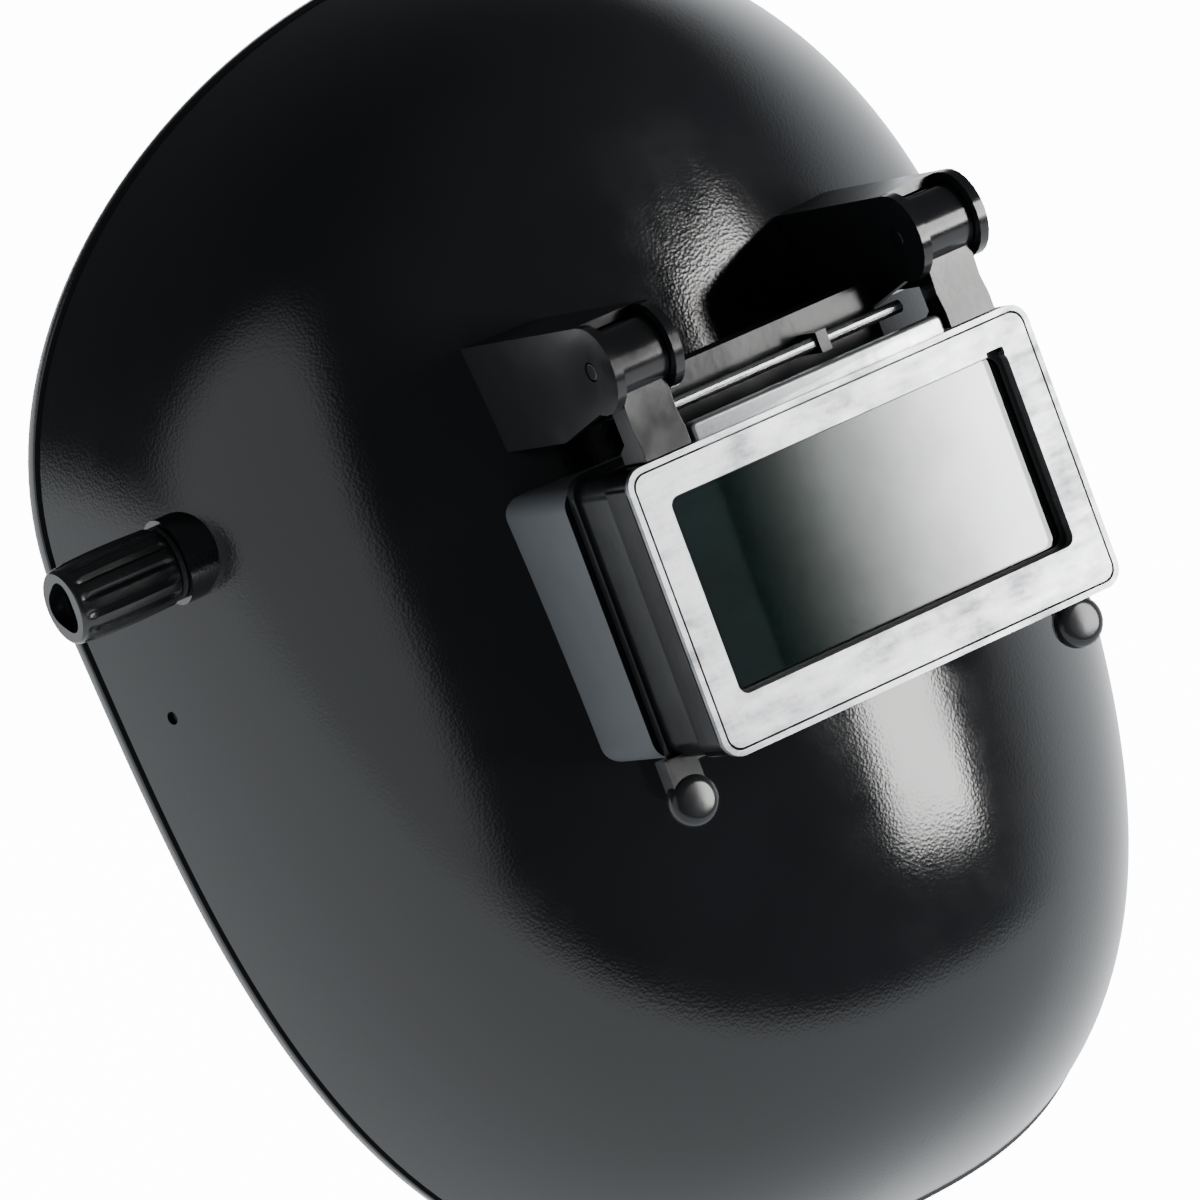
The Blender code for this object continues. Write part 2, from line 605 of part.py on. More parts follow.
# ---- lift-up cover -------------------------------------------------------------------------
def make_cover():
    middle = window_z(VIEW_LIFT)
    frame = plate("cover_frame", [rounded_rectangle(COVER_WIDTH, COVER_HEIGHT, COVER_CORNER)],
                  COVER_DEPTH, facing_front(window_y(COVER_DEPTH / 2), z=WINDOW_Z))
    rail_end = HINGE_X - BARREL_LENGTH / 2 - 1.2 * MM
    rail = box("cover_rail", (-rail_end, window_y(0.8 * MM), window_z(COVER_HEIGHT / 2 - 2 * MM)),
               (rail_end, window_y(5.5 * MM), window_z(COVER_HEIGHT / 2 + 4.6 * MM)), cutters, 1.2 * MM)
    join(frame, rail)
    view = plate("cover_view", [rounded_rectangle(VIEW_WIDTH, VIEW_HEIGHT, 3 * MM)], 20 * MM,
                 facing_front(window_y(0), z=middle), cutters)
    pocket = plate(
        "cover_pocket",
        [rounded_rectangle(LENS_WIDTH + 2 * LENS_PLAY, LENS_HEIGHT + 2 * LENS_PLAY, 2 * MM)],
        30 * MM, facing_front(window_y(COVER_FRONT + 15 * MM), z=middle), cutters)
    plate_width = COVER_WIDTH - 2 * PLATE_BORDER
    plate_height = COVER_HEIGHT - 2 * PLATE_BORDER
    recess = plate(
        "plate_recess",
        [rounded_rectangle(plate_width + 2 * GAP, plate_height + 2 * GAP, PLATE_CORNER + GAP)],
        2 * (PLATE_THICKNESS + GAP), facing_front(window_y(0), z=WINDOW_Z), cutters)
    cut(frame, view, pocket, recess)
    dress(frame, "black")
    face = plate("cover_face_plate", [
        rounded_rectangle(plate_width, plate_height, PLATE_CORNER),
        rounded_rectangle(VIEW_WIDTH, VIEW_HEIGHT, 3 * MM, (0, VIEW_LIFT))],
        PLATE_THICKNESS, facing_front(window_y(PLATE_THICKNESS / 2), z=WINDOW_Z))
    round_edges(face, 0.3 * MM, 1)
    dress(face, "silver")

    y = COVER_FRONT + GAP
    gasket = plate("cover_gasket", [
        rounded_rectangle(LENS_WIDTH, LENS_HEIGHT, 2 * MM),
        rounded_rectangle(VIEW_WIDTH - 1.4 * MM, VIEW_HEIGHT - 1.4 * MM, 3 * MM)],
        GASKET_THICKNESS, facing_front(window_y(y + GASKET_THICKNESS / 2), z=middle))
    dress(gasket, "rubber")
    y += GASKET_THICKNESS + GAP
    glass = plate("cover_glass", [rounded_rectangle(LENS_WIDTH, LENS_HEIGHT, 1 * MM)],
                  GLASS_THICKNESS, facing_front(window_y(y + GLASS_THICKNESS / 2), z=middle))
    dress(glass, "clear_glass")
    y += GLASS_THICKNESS + GAP
    lens = plate("filter_lens", [rounded_rectangle(LENS_WIDTH, LENS_HEIGHT, 1 * MM)],
                 FILTER_THICKNESS, facing_front(window_y(y + FILTER_THICKNESS / 2), z=middle))
    dress(lens, "dark_glass")
    y += FILTER_THICKNESS + GAP
    retainer = plate("lens_retainer", [
        rounded_rectangle(LENS_WIDTH, LENS_HEIGHT, 2 * MM),
        rounded_rectangle(VIEW_WIDTH - 2 * MM, VIEW_HEIGHT - 2 * MM, 3 * MM)],
        RETAINER_THICKNESS, facing_front(window_y(y + RETAINER_THICKNESS / 2), z=middle))
    dress(retainer, "satin_black")


# ---- cover hinges --------------------------------------------------------------------------
def bracket_screw_places(side):
    return [(side * HINGE_X, window_z(HINGE_RISE + rise)) for rise in (-9 * MM, 4 * MM)]


def make_hinge(side):
    end = "left" if side > 0 else "right"
    axis_y = window_y(HINGE_BACK)
    axis_z = window_z(HINGE_RISE)
    inner = HINGE_X - BARREL_LENGTH / 2
    outer = HINGE_X + BARREL_LENGTH / 2
    wall_y = window_y(70 * MM)

    cheek_x = (outer + GAP + CHEEK_THICKNESS / 2, inner - GAP - CHEEK_THICKNESS / 2)
    low = axis_z - BRACKET_DROP
    top = axis_z + CHEEK_RADIUS
    bracket_x = sorted((side * (cheek_x[1] - CHEEK_THICKNESS / 2),
                        side * (cheek_x[0] + CHEEK_THICKNESS / 2)))
    bracket = box(f"hinge_bracket_{end}", (bracket_x[0], window_y(47 * MM - BRACKET_BASE), low),
                  (bracket_x[1], wall_y, top))
    roof = box(f"bracket_roof_{end}", (bracket_x[0], window_y(HINGE_BACK + 2 * MM), top - ROOF_THICKNESS),
               (bracket_x[1], wall_y, top - 0.01 * MM), cutters)
    join(bracket, roof)
    for number, x in enumerate(cheek_x):
        disc = rod(f"cheek_disc_{end}_{number}", CHEEK_RADIUS,
                   (side * (x - CHEEK_THICKNESS / 2), axis_y, axis_z),
                   (side * (x + CHEEK_THICKNESS / 2), axis_y, axis_z), "X", 24, cutters)
        web_top = axis_z + CHEEK_RADIUS - 0.02 * MM
        web_outline = [(axis_y, web_top), (wall_y, web_top), (wall_y, low + 0.02 * MM),
                       (window_y(30 * MM), low + 0.02 * MM),
                       (axis_y + 3 * MM, axis_z - CHEEK_RADIUS * 0.94)]
        web = plate(f"cheek_web_{end}_{number}", [web_outline], CHEEK_THICKNESS - 0.02 * MM,
                    facing_side(side * x), cutters)
        join(bracket, disc, web)
    cut(bracket, front_solid(f"bracket_fit_{end}", GAP))
    cut(bracket, rod(f"pin_hole_{end}", HINGE_PIN_RADIUS + GAP, (side * (inner - 0.01), axis_y, axis_z),
                     (side * (outer + 0.01), axis_y, axis_z), "X", 20, cutters))
    for number, (x, z) in enumerate(bracket_screw_places(side)):
        seat_y = shell_seat_y(x, z)
        cut(bracket, rod(f"bracket_thread_{end}_{number}", SCREW_RADIUS + GAP,
                         (x, seat_y - BRACKET_SCREW - 1 * MM, z), (x, seat_y + 0.015, z),
                         "Y", 8, cutters))
        level = "lower" if number == 0 else "upper"
        profile = [(0, SCREW_HEAD), (SCREW_HEAD_RADIUS * 0.8, SCREW_HEAD),
                   (SCREW_HEAD_RADIUS, SCREW_HEAD * 0.5), (SCREW_HEAD_RADIUS, 0),
                   (SCREW_RADIUS, 0), (SCREW_RADIUS, -BRACKET_SCREW), (0, -BRACKET_SCREW)]
        screw = turned(f"bracket_screw_{level}_{end}", profile,
                       Matrix.Translation((x, seat_y, z)) @ AXIS_TURN["Y"], 10)
        dress(screw, "steel")
    dress(bracket, "black")

    pin = rod(f"hinge_pin_{end}", HINGE_PIN_RADIUS,
              (side * (inner - GAP - CHEEK_THICKNESS), axis_y, axis_z),
              (side * (outer + GAP + CHEEK_THICKNESS), axis_y, axis_z), "X", 20)
    dress(pin, "steel")

    barrel = rod(f"cover_arm_{end}", BARREL_RADIUS, (side * inner, axis_y, axis_z),
                 (side * outer, axis_y, axis_z), "X", 32)
    foot_z = window_z(COVER_HEIGHT / 2) + GAP
    arm_outline = [(axis_y - 4.4 * MM, axis_z), (axis_y + 4 * MM, axis_z),
                   (axis_y + 3.2 * MM, foot_z + 5 * MM), (window_y(11.4 * MM), foot_z + 3 * MM),
                   (window_y(11.4 * MM), foot_z), (window_y(0.6 * MM), foot_z),
                   (window_y(0.6 * MM), foot_z + 4 * MM), (axis_y - 3.2 * MM, foot_z + 9 * MM)]
    arm = plate(f"arm_{end}", [arm_outline], BARREL_LENGTH - 0.6 * MM,
                facing_side(side * HINGE_X), cutters)
    bore = rod(f"barrel_bore_{end}", HINGE_PIN_RADIUS + GAP, (side * (inner - 0.01), axis_y, axis_z),
               (side * (outer + 0.01), axis_y, axis_z), "X", 20, cutters)
    join(barrel, arm)
    cut(barrel, bore)
    dress(barrel, "black")


def shell_seat_y(x, z):
    """Inner face of the shell's front at (x, z), where a screw head seats."""
    slope = 2 * FRONT_BEND * abs(x) + RIM_LEAN + 2 * RIM_SWEEP * abs(z)
    return shell_y(0.0, x, z) + SHELL_WALL * sqrt(1 + slope * slope) + SCREW_HEAD_RADIUS * slope + GAP


# ---- side pivots ---------------------------------------------------------------------------
def make_cap_nut(side):
    """Low cap nut: a hexagon under a turned dome, bored blind from its inner face."""
    start = side * (CAP_SEAT_X + GAP + WASHER_THICKNESS + GAP)
    nut = plate("pivot_cap_nut_left", [circle(CAP_HEX_RADIUS, sides=6)], CAP_HEX_LENGTH,
                facing_side(start + side * CAP_HEX_LENGTH / 2))
    dome = turned("cap_dome", [
        (0, CAP_LENGTH), (CAP_DOME_RADIUS * 0.5, CAP_LENGTH - 0.2 * MM),
        (CAP_DOME_RADIUS * 0.9, CAP_LENGTH - 0.8 * MM), (CAP_DOME_RADIUS, CAP_HEX_LENGTH - 0.4 * MM),
        (0, CAP_HEX_LENGTH - 0.4 * MM)],
        Matrix.Translation((start, 0, 0)) @ AXIS_TURN["X"], 24, cutters)
    bore = rod("cap_bore", BOLT_RADIUS + GAP, (side * 0.1, 0, 0),
               (start + side * (CAP_LENGTH - CAP_ROOF), 0, 0), "X", 20, cutters)
    join(nut, dome)
    cut(nut, bore)
    dress(nut, "black", 30)


def make_knob(side):
    """Fluted knob round its bolt: rings along x whose radius follows the flutes."""
    end = "left" if side > 0 else "right"
    start = PIVOT_SEAT_X + GAP + WASHER_THICKNESS + GAP
    stations = ((0.0, 0.93), (0.05, 0.97), (0.35, 1.0), (0.75, 0.975), (0.95, 0.94), (1.0, 0.88))
    sides = 3 * KNOB_FLUTES
    rings = []
    for share, swell in stations:
        ring = []
        for n in range(sides):
            angle = 2 * pi * n / sides
            flute = KNOB_FLUTE * max(0.0, cos(angle * KNOB_FLUTES)) ** 2
            radius = KNOB_RADIUS * swell - flute
            x = side * (start + share * KNOB_LENGTH)
            ring.append(Vector((x, radius * cos(angle), radius * sin(angle))))
        rings.append(ring)
    tips = [Vector((side * (start + share * KNOB_LENGTH), 0, 0)) for share in (0, 1)]
    knob = ring_mesh(f"tension_knob_{end}", rings, tips[0], tips[1])
    bore = rod(f"knob_bore_{end}", BOLT_RADIUS + GAP, (side * 0.1, 0, 0), (side * 0.16, 0, 0),
               "X", 20, cutters)
    floor = start + KNOB_LENGTH - KNOB_RECESS
    lobes = []
    for n in range(24):
        angle = 2 * pi * n / 24
        radius = KNOB_RECESS_RADIUS * (0.93 + 0.07 * cos(3 * angle))
        lobes.append((radius * cos(angle), radius * sin(angle)))
    recess = plate(f"knob_recess_{end}", [lobes], 40 * MM, facing_side(side * (floor + 20 * MM)), cutters)
    cut(knob, bore, recess)
    dress(knob, "black")

    nut_middle = floor + GAP + NUT_THICKNESS / 2
    nut = plate(f"knob_nut_{end}", [circle(NUT_RADIUS, sides=6), circle(BOLT_RADIUS + GAP, sides=20)],
                NUT_THICKNESS, facing_side(side * nut_middle))
    dress(nut, "steel", 30)


def make_pivot(side):
    end = "left" if side > 0 else "right"
    seat_x = pivot_seat_x(side)
    nut_x = seat_x + GAP + WASHER_THICKNESS + GAP
    if side > 0:
        make_cap_nut(side)
        bolt_end = nut_x + CAP_LENGTH - CAP_ROOF - GAP
    else:
        make_knob(side)
        bolt_end = nut_x + KNOB_LENGTH - 4 * MM
    washer_x = seat_x + GAP + WASHER_THICKNESS / 2
    ring = [circle(WASHER_RADIUS, sides=24), circle(BOLT_RADIUS + GAP, sides=16)]
    washer = plate(f"friction_washer_{end}", ring, WASHER_THICKNESS, facing_side(side * washer_x))
    dress(washer, "rubber")
    inner_thickness = 0.8 * MM
    inner_x = PIVOT_INNER_X - GAP - inner_thickness / 2
    inner = plate(f"inner_washer_{end}", ring, inner_thickness, facing_side(side * inner_x))
    dress(inner, "steel")
    head_x = arm_inner_x() - GAP
    profile = [(0, bolt_end), (BOLT_RADIUS - 0.4 * MM, bolt_end), (BOLT_RADIUS, bolt_end - 0.5 * MM),
               (BOLT_RADIUS, head_x), (BOLT_HEAD_RADIUS, head_x), (BOLT_HEAD_RADIUS, head_x - 1.2 * MM),
               (BOLT_HEAD_RADIUS * 0.7, head_x - 3 * MM), (0, head_x - 3.6 * MM)]
    turn = AXIS_TURN["X"] if side > 0 else Matrix.Rotation(-pi / 2, 4, "Y")
    dress(turned(f"pivot_bolt_{end}", profile, turn, 24), "steel")

    pin_end = side_wall_x(STOP_Y, STOP_Z) - STOP_SINK
    pin = rod(f"stop_pin_{end}", STOP_RADIUS, (side * (arm_inner_x() + 0.2 * MM), STOP_Y, STOP_Z),
              (side * pin_end, STOP_Y, STOP_Z), "X", 16)
    dress(pin, "satin_black")


def side_wall_x(y, z):
    """Half-width of the shell's outer face where its side wall reaches depth y."""
    low, high = 0.5, 1.0
    for _ in range(40):
        share = (low + high) / 2
        x = share * wall_reach(z, share)
        if shell_y(share, x, z) < y:
            low = share
        else:
            high = share
    return share * wall_reach(z, share)


def wall_reach(z, share):
    """Outline half-width that the ring of this share has at height z."""
    height = (z - SHELL_WIDEST_Z) / share
    upper = height > 0
    power = CROWN_POWER if upper else CHIN_POWER
    reach = SHELL_CROWN_Z - SHELL_WIDEST_Z if upper else SHELL_WIDEST_Z - SHELL_CHIN_Z
    return SHELL_HALF_WIDTH * (1 - min(1.0, abs(height) / reach) ** power) ** (1 / power)


def arm_inner_x():
    return PIVOT_INNER_X - GAP - 0.8 * MM - GAP - ARM_THICKNESS


# ---- harness -------------------------------------------------------------------------------
def band_point(angle, offset=0.0):
    """Point (x, y) of the headband's inner face; the angle is 0 at the front, pi at the nape."""
    x = HEAD_HALF_WIDTH * signed_power(sin(angle), 2 / HEAD_POWER)
    y = HEAD_CENTRE_Y - HEAD_HALF_LENGTH * signed_power(cos(angle), 2 / HEAD_POWER)
    if not offset:
        return Vector((x, y))
    step = 0.001
    along = band_point(angle + step) - band_point(angle - step)
    return Vector((x, y)) + Vector((along.y, -along.x)).normalized() * offset


def band_z(y):
    return BAND_FRONT_Z + BAND_SLOPE * (y - HEAD_CENTRE_Y + HEAD_HALF_LENGTH)


def band_angle(half_width, rear=False):
    """Angle at which the inner face is this far from the middle plane."""
    low, high = (pi / 2, pi) if rear else (0.0, pi / 2)
    for _ in range(50):
        middle = (low + high) / 2
        wide = band_point(middle).x > half_width
        if wide == rear:
            low = middle
        else:
            high = middle
    return low


def wall_strip(name, path, heights, thickness, offset=-1.0):
    """A strip standing on a path of (x, y, z) middle points, with its height at each point."""
    shape = bmesh.new()
    rows = []
    for (x, y, z), height in zip(path, heights):
        rows.append((shape.verts.new((x, y, z - height / 2)), shape.verts.new((x, y, z + height / 2))))
    for before, after in zip(rows, rows[1:]):
        shape.faces.new((before[0], after[0], after[1], before[1]))
    mesh = bpy.data.meshes.new(name)
    shape.to_mesh(mesh)
    shape.free()
    piece = link(name, mesh)
    solid = piece.modifiers.new("Solidify", "SOLIDIFY")
    solid.thickness = thickness
    solid.offset = offset
    solid.use_even_offset = True
    return piece


def ring_path(start, end, steps, offset):
    path = []
    for n in range(steps + 1):
        angle = start + (end - start) * n / steps
        x, y = band_point(angle, offset)
        path.append((x, y, band_z(y)))
    return path


def make_headband():
    last = band_angle(BAND_END_X, rear=True)
    path = ring_path(-last, last, 36, 0.0)
    heights = []
    for n in range(37):
        share = abs(n - 18) / 18
        wide = max(0.0, 1 - share * 2.2)
        heights.append(BAND_SIDE_HEIGHT + (BAND_FRONT_HEIGHT - BAND_SIDE_HEIGHT) * min(1.0, wide * 2))
    band = wall_strip("headband", path, heights, BAND_THICKNESS, 1.0)
    for side in (-1, 1):
        for y in rivet_places():
            cut(band, rod(f"rivet_hole_{side}_{y:.3f}", RIVET_RADIUS + GAP, (side * 0.06, y, band_z(y)),
                          (side * 0.1, y, band_z(y)), "X", 10, cutters))
        cut(band, rod(f"crown_hole_{side}", RIVET_RADIUS + GAP, (side * 0.06, CROWN_Y, band_z(CROWN_Y)),
                      (side * 0.1, CROWN_Y, band_z(CROWN_Y)), "X", 10, cutters))
    dress(band, "satin_black", 60)

    span = band_angle(SWEATBAND_HALF_WIDTH)
    inset = -GAP
    path = ring_path(-span, span, 24, inset)
    sweat = wall_strip("sweatband", path, [PAD_HEIGHT] * 25, SWEATBAND_THICKNESS, -1.0)
    dress(sweat, "foam", 60)
    start = band_angle(NAPE_PAD_HALF_WIDTH, rear=True)
    path = ring_path(start, 2 * pi - start, 18, inset)
    nape = wall_strip("nape_pad", path, [PAD_HEIGHT] * 19, NAPE_PAD_THICKNESS, -1.0)
    dress(nape, "foam", 60)


def rivet_places():
    return (66 * MM, 80 * MM)


def outer_band_x(y):
    """Half-width of the headband's outer face at depth y."""
    share = abs(y - HEAD_CENTRE_Y) / HEAD_HALF_LENGTH
    return HEAD_HALF_WIDTH * (1 - share ** HEAD_POWER) ** (1 / HEAD_POWER) + BAND_THICKNESS


def make_side_arm(side):
    end = "left" if side > 0 else "right"
    flat_x = arm_inner_x() + ARM_THICKNESS / 2
    finger_y = STOP_Y + STOP_RADIUS + GAP
    disc = circle(ARM_PIVOT_RADIUS, sides=32)
    arm = plate(f"side_arm_{end}", [disc], ARM_THICKNESS, facing_side(side * flat_x))
    finger = plate(f"stop_finger_{end}", [[
        (finger_y, STOP_Z - 3 * MM), (finger_y + 7 * MM, STOP_Z - 3 * MM), (24 * MM, 2 * MM),
        (2 * MM, -2 * MM), (finger_y, STOP_Z + 12 * MM)]],
        ARM_THICKNESS - 0.04 * MM, facing_side(side * flat_x), cutters)

    first, last = rivet_places()
    clearance = GAP + 0.3 * MM + ARM_THICKNESS / 2
    shape = bmesh.new()
    steps = 9
    start_y, bend_y = 24 * MM, 58 * MM
    touch = outer_band_x(bend_y) + clearance
    route = [(flat_x, 0.0)]
    for n in range(steps + 1):
        share = n / steps
        ease = (1 - cos(pi * share)) / 2
        route.append((flat_x + (touch - flat_x) * ease, start_y + (bend_y - start_y) * share))
    for y in (first, last, last + 6 * MM):
        route.append((outer_band_x(y) + clearance, y))
    rows = []
    for x, y in route:
        z = band_z(y) * min(1.0, y / bend_y)
        half = ARM_HEIGHT / 2
        inside = side * (x - ARM_THICKNESS / 2 + 0.02 * MM)
        outside = side * (x + ARM_THICKNESS / 2 - 0.02 * MM)
        corners = ((inside, -half), (inside, half), (outside, half), (outside, -half))
        rows.append([shape.verts.new((across, y, z + dz)) for across, dz in corners])
    for before, after in zip(rows, rows[1:]):
        for n in range(4):
            m = (n + 1) % 4
            shape.faces.new((before[n], before[m], after[m], after[n]))
    shape.faces.new(rows[0])
    shape.faces.new(rows[-1])
    tail = from_bmesh(f"arm_tail_{end}", shape, cutters)
    join(arm, tail, finger)
    cut(arm, rod(f"arm_hole_{end}", BOLT_RADIUS + GAP, (side * 0.09, 0, 0), (side * 0.12, 0, 0),
                 "X", 20, cutters))
    for y in (first, last):
        cut(arm, rod(f"arm_rivet_hole_{end}_{y:.3f}", RIVET_RADIUS + GAP, (side * 0.07, y, band_z(y)),
                     (side * 0.1, y, band_z(y)), "X", 10, cutters))
    dress(arm, "satin_black")
    for number, y in enumerate((first, last), 1):
        inside = outer_band_x(y + RIVET_HEAD_RADIUS) - BAND_THICKNESS - GAP
        outside = outer_band_x(y - RIVET_HEAD_RADIUS) + clearance + ARM_THICKNESS / 2 + GAP
        dress(rivet(f"arm_rivet_{number}_{end}", side, inside, outside, y, band_z(y)), "satin_black")


def rivet(name, side, inside, outside, y, z):
    """A stud along x with a head at each end."""
    cap = 1.1 * MM
    profile = [
        (0, outside + cap), (RIVET_HEAD_RADIUS * 0.75, outside + cap),
        (RIVET_HEAD_RADIUS, outside + 0.3 * MM), (RIVET_HEAD_RADIUS, outside),
        (RIVET_RADIUS, outside), (RIVET_RADIUS, inside), (RIVET_HEAD_RADIUS, inside),
        (RIVET_HEAD_RADIUS, inside - cap * 0.6), (0, inside - cap * 0.8)]
    turn = AXIS_TURN["X"] if side > 0 else Matrix.Rotation(-pi / 2, 4, "Y")
    return turned(name, profile, Matrix.Translation((0, y, z)) @ turn, 12)


def crown_path(last, steps):
    """Points (x, z) of a strap over the head, from the wearer's left up to the last angle."""
    low = band_z(CROWN_Y)
    half = HEAD_HALF_WIDTH + BAND_THICKNESS + 2 * GAP
    path = []
    for n in range(steps + 1):
        angle = last * n / steps
        path.append((half * signed_power(cos(angle), 2 / 2.2),
                     low + (CROWN_TOP_Z - low) * signed_power(sin(angle), 2 / 2.2)))
    return path


def make_crown_strap(side):
    end = "left" if side > 0 else "right"
    drop = 9 * MM
    last = pi / 2 + 0.2
    path = crown_path(last, 16)
    if side < 0:
        path = []
        for n, (x, z) in enumerate(crown_path(last, 16)):
            share = min(1.0, max(0.0, (last * n / 16 - 1.0) / 0.25))
            path.append((-x, z + share * (CROWN_STRAP_THICKNESS + GAP)))
    first_x, first_z = path[0]
    path.insert(0, (first_x, first_z - drop))
    shape = bmesh.new()
    rows = []
    for x, z in path:
        half = CROWN_STRAP_WIDTH / 2
        rows.append([shape.verts.new((x, CROWN_Y + dy, z)) for dy in (-half, half)])
    for before, after in zip(rows, rows[1:]):
        shape.faces.new((before[0], before[1], after[1], after[0]))
    mesh = bpy.data.meshes.new(f"crown_strap_{end}")
    shape.to_mesh(mesh)
    shape.free()
    strap = link(f"crown_strap_{end}", mesh)
    solid = strap.modifiers.new("Solidify", "SOLIDIFY")
    solid.thickness = CROWN_STRAP_THICKNESS
    solid.offset = -1.0 if side < 0 else 1.0
    solid.use_even_offset = True
    z = band_z(CROWN_Y)
    cut(strap, rod(f"strap_hole_{end}", RIVET_RADIUS + GAP, (side * 0.07, CROWN_Y, z),
                   (side * 0.1, CROWN_Y, z), "X", 10, cutters))
    for n in (-1, 0, 1):
        x = n * 9 * MM
        cut(strap, rod(f"peg_hole_{end}_{n}", RIVET_RADIUS + GAP, (x, CROWN_Y, CROWN_TOP_Z - 0.02),
                       (x, CROWN_Y, CROWN_TOP_Z + 0.02), "Z", 10, cutters))
    dress(strap, "satin_black", 60)
    inside = outer_band_x(CROWN_Y) - BAND_THICKNESS - 0.5 * MM
    outside = HEAD_HALF_WIDTH + BAND_THICKNESS + 2 * GAP + CROWN_STRAP_THICKNESS + 0.6 * MM
    dress(rivet(f"crown_stud_{end}", side, inside, outside, CROWN_Y, z), "satin_black")


def make_crown_peg():
    top = CROWN_TOP_Z + 2 * CROWN_STRAP_THICKNESS + GAP
    low = CROWN_TOP_Z - 0.6 * MM
    cap = 1.2 * MM
    profile = [(0, top + cap), (RIVET_HEAD_RADIUS, top + cap), (RIVET_HEAD_RADIUS * 1.2, top + 0.5 * MM),
               (RIVET_RADIUS, top + 0.5 * MM), (RIVET_RADIUS, low), (RIVET_HEAD_RADIUS, low),
               (RIVET_HEAD_RADIUS, low - cap), (0, low - cap)]
    peg = turned("crown_peg", profile, Matrix.Translation((0, CROWN_Y, 0)), 12)
    dress(peg, "satin_black")


# ---- size adjuster -------------------------------------------------------------------------
ADJUSTER_Y = HEAD_CENTRE_Y + HEAD_HALF_LENGTH + BAND_THICKNESS + GAP * 2
ADJUSTER_Z = band_z(ADJUSTER_Y)
PITCH_RADIUS = PINION_TEETH * TOOTH_MODULE / 2
RACK_Y = ADJUSTER_Y + HOUSING_WALL + GAP + RACK_THICKNESS / 2
TOOTH_PITCH = pi * TOOTH_MODULE


def pinion_outline():
    """Simple straight-flanked teeth, thinner than the gaps they run in."""
    tip = PITCH_RADIUS + 0.8 * TOOTH_MODULE
    root = PITCH_RADIUS - 1.1 * TOOTH_MODULE
    points = []
    for tooth in range(PINION_TEETH):
        middle = 2 * pi * tooth / PINION_TEETH
        for share, radius in ((-0.30, root), (-0.10, tip), (0.10, tip), (0.30, root)):
            angle = middle + share * 2 * pi / PINION_TEETH
            points.append((radius * cos(angle), radius * sin(angle)))
    return points


def rack_outline(side):
    """A bar above or below the pinion, with teeth towards it."""
    pitch_z = PITCH_RADIUS
    tip = pitch_z - 0.8 * TOOTH_MODULE
    root = pitch_z + 1.1 * TOOTH_MODULE
    back = pitch_z + RACK_HEIGHT
    first = int(-RACK_TAIL / TOOTH_PITCH) + 1
    last = int(34 * MM / TOOTH_PITCH)
    points = [(-RACK_TAIL, back), (-RACK_TAIL, root)]
    phase = 0.5 if PINION_TEETH % 4 == 0 else 0.0
    for tooth in range(first, last):
        middle = (tooth + phase) * TOOTH_PITCH
        for share, height in ((-0.30, root), (-0.10, tip), (0.10, tip), (0.30, root)):
            points.append((middle + share * TOOTH_PITCH, height))
    points += [(RACK_REACH - 14 * MM, root), (RACK_REACH - 10 * MM, pitch_z - 6 * MM),
               (RACK_REACH, pitch_z - 6 * MM), (RACK_REACH, back)]
    return [(side * x, side * z) for x, z in points]


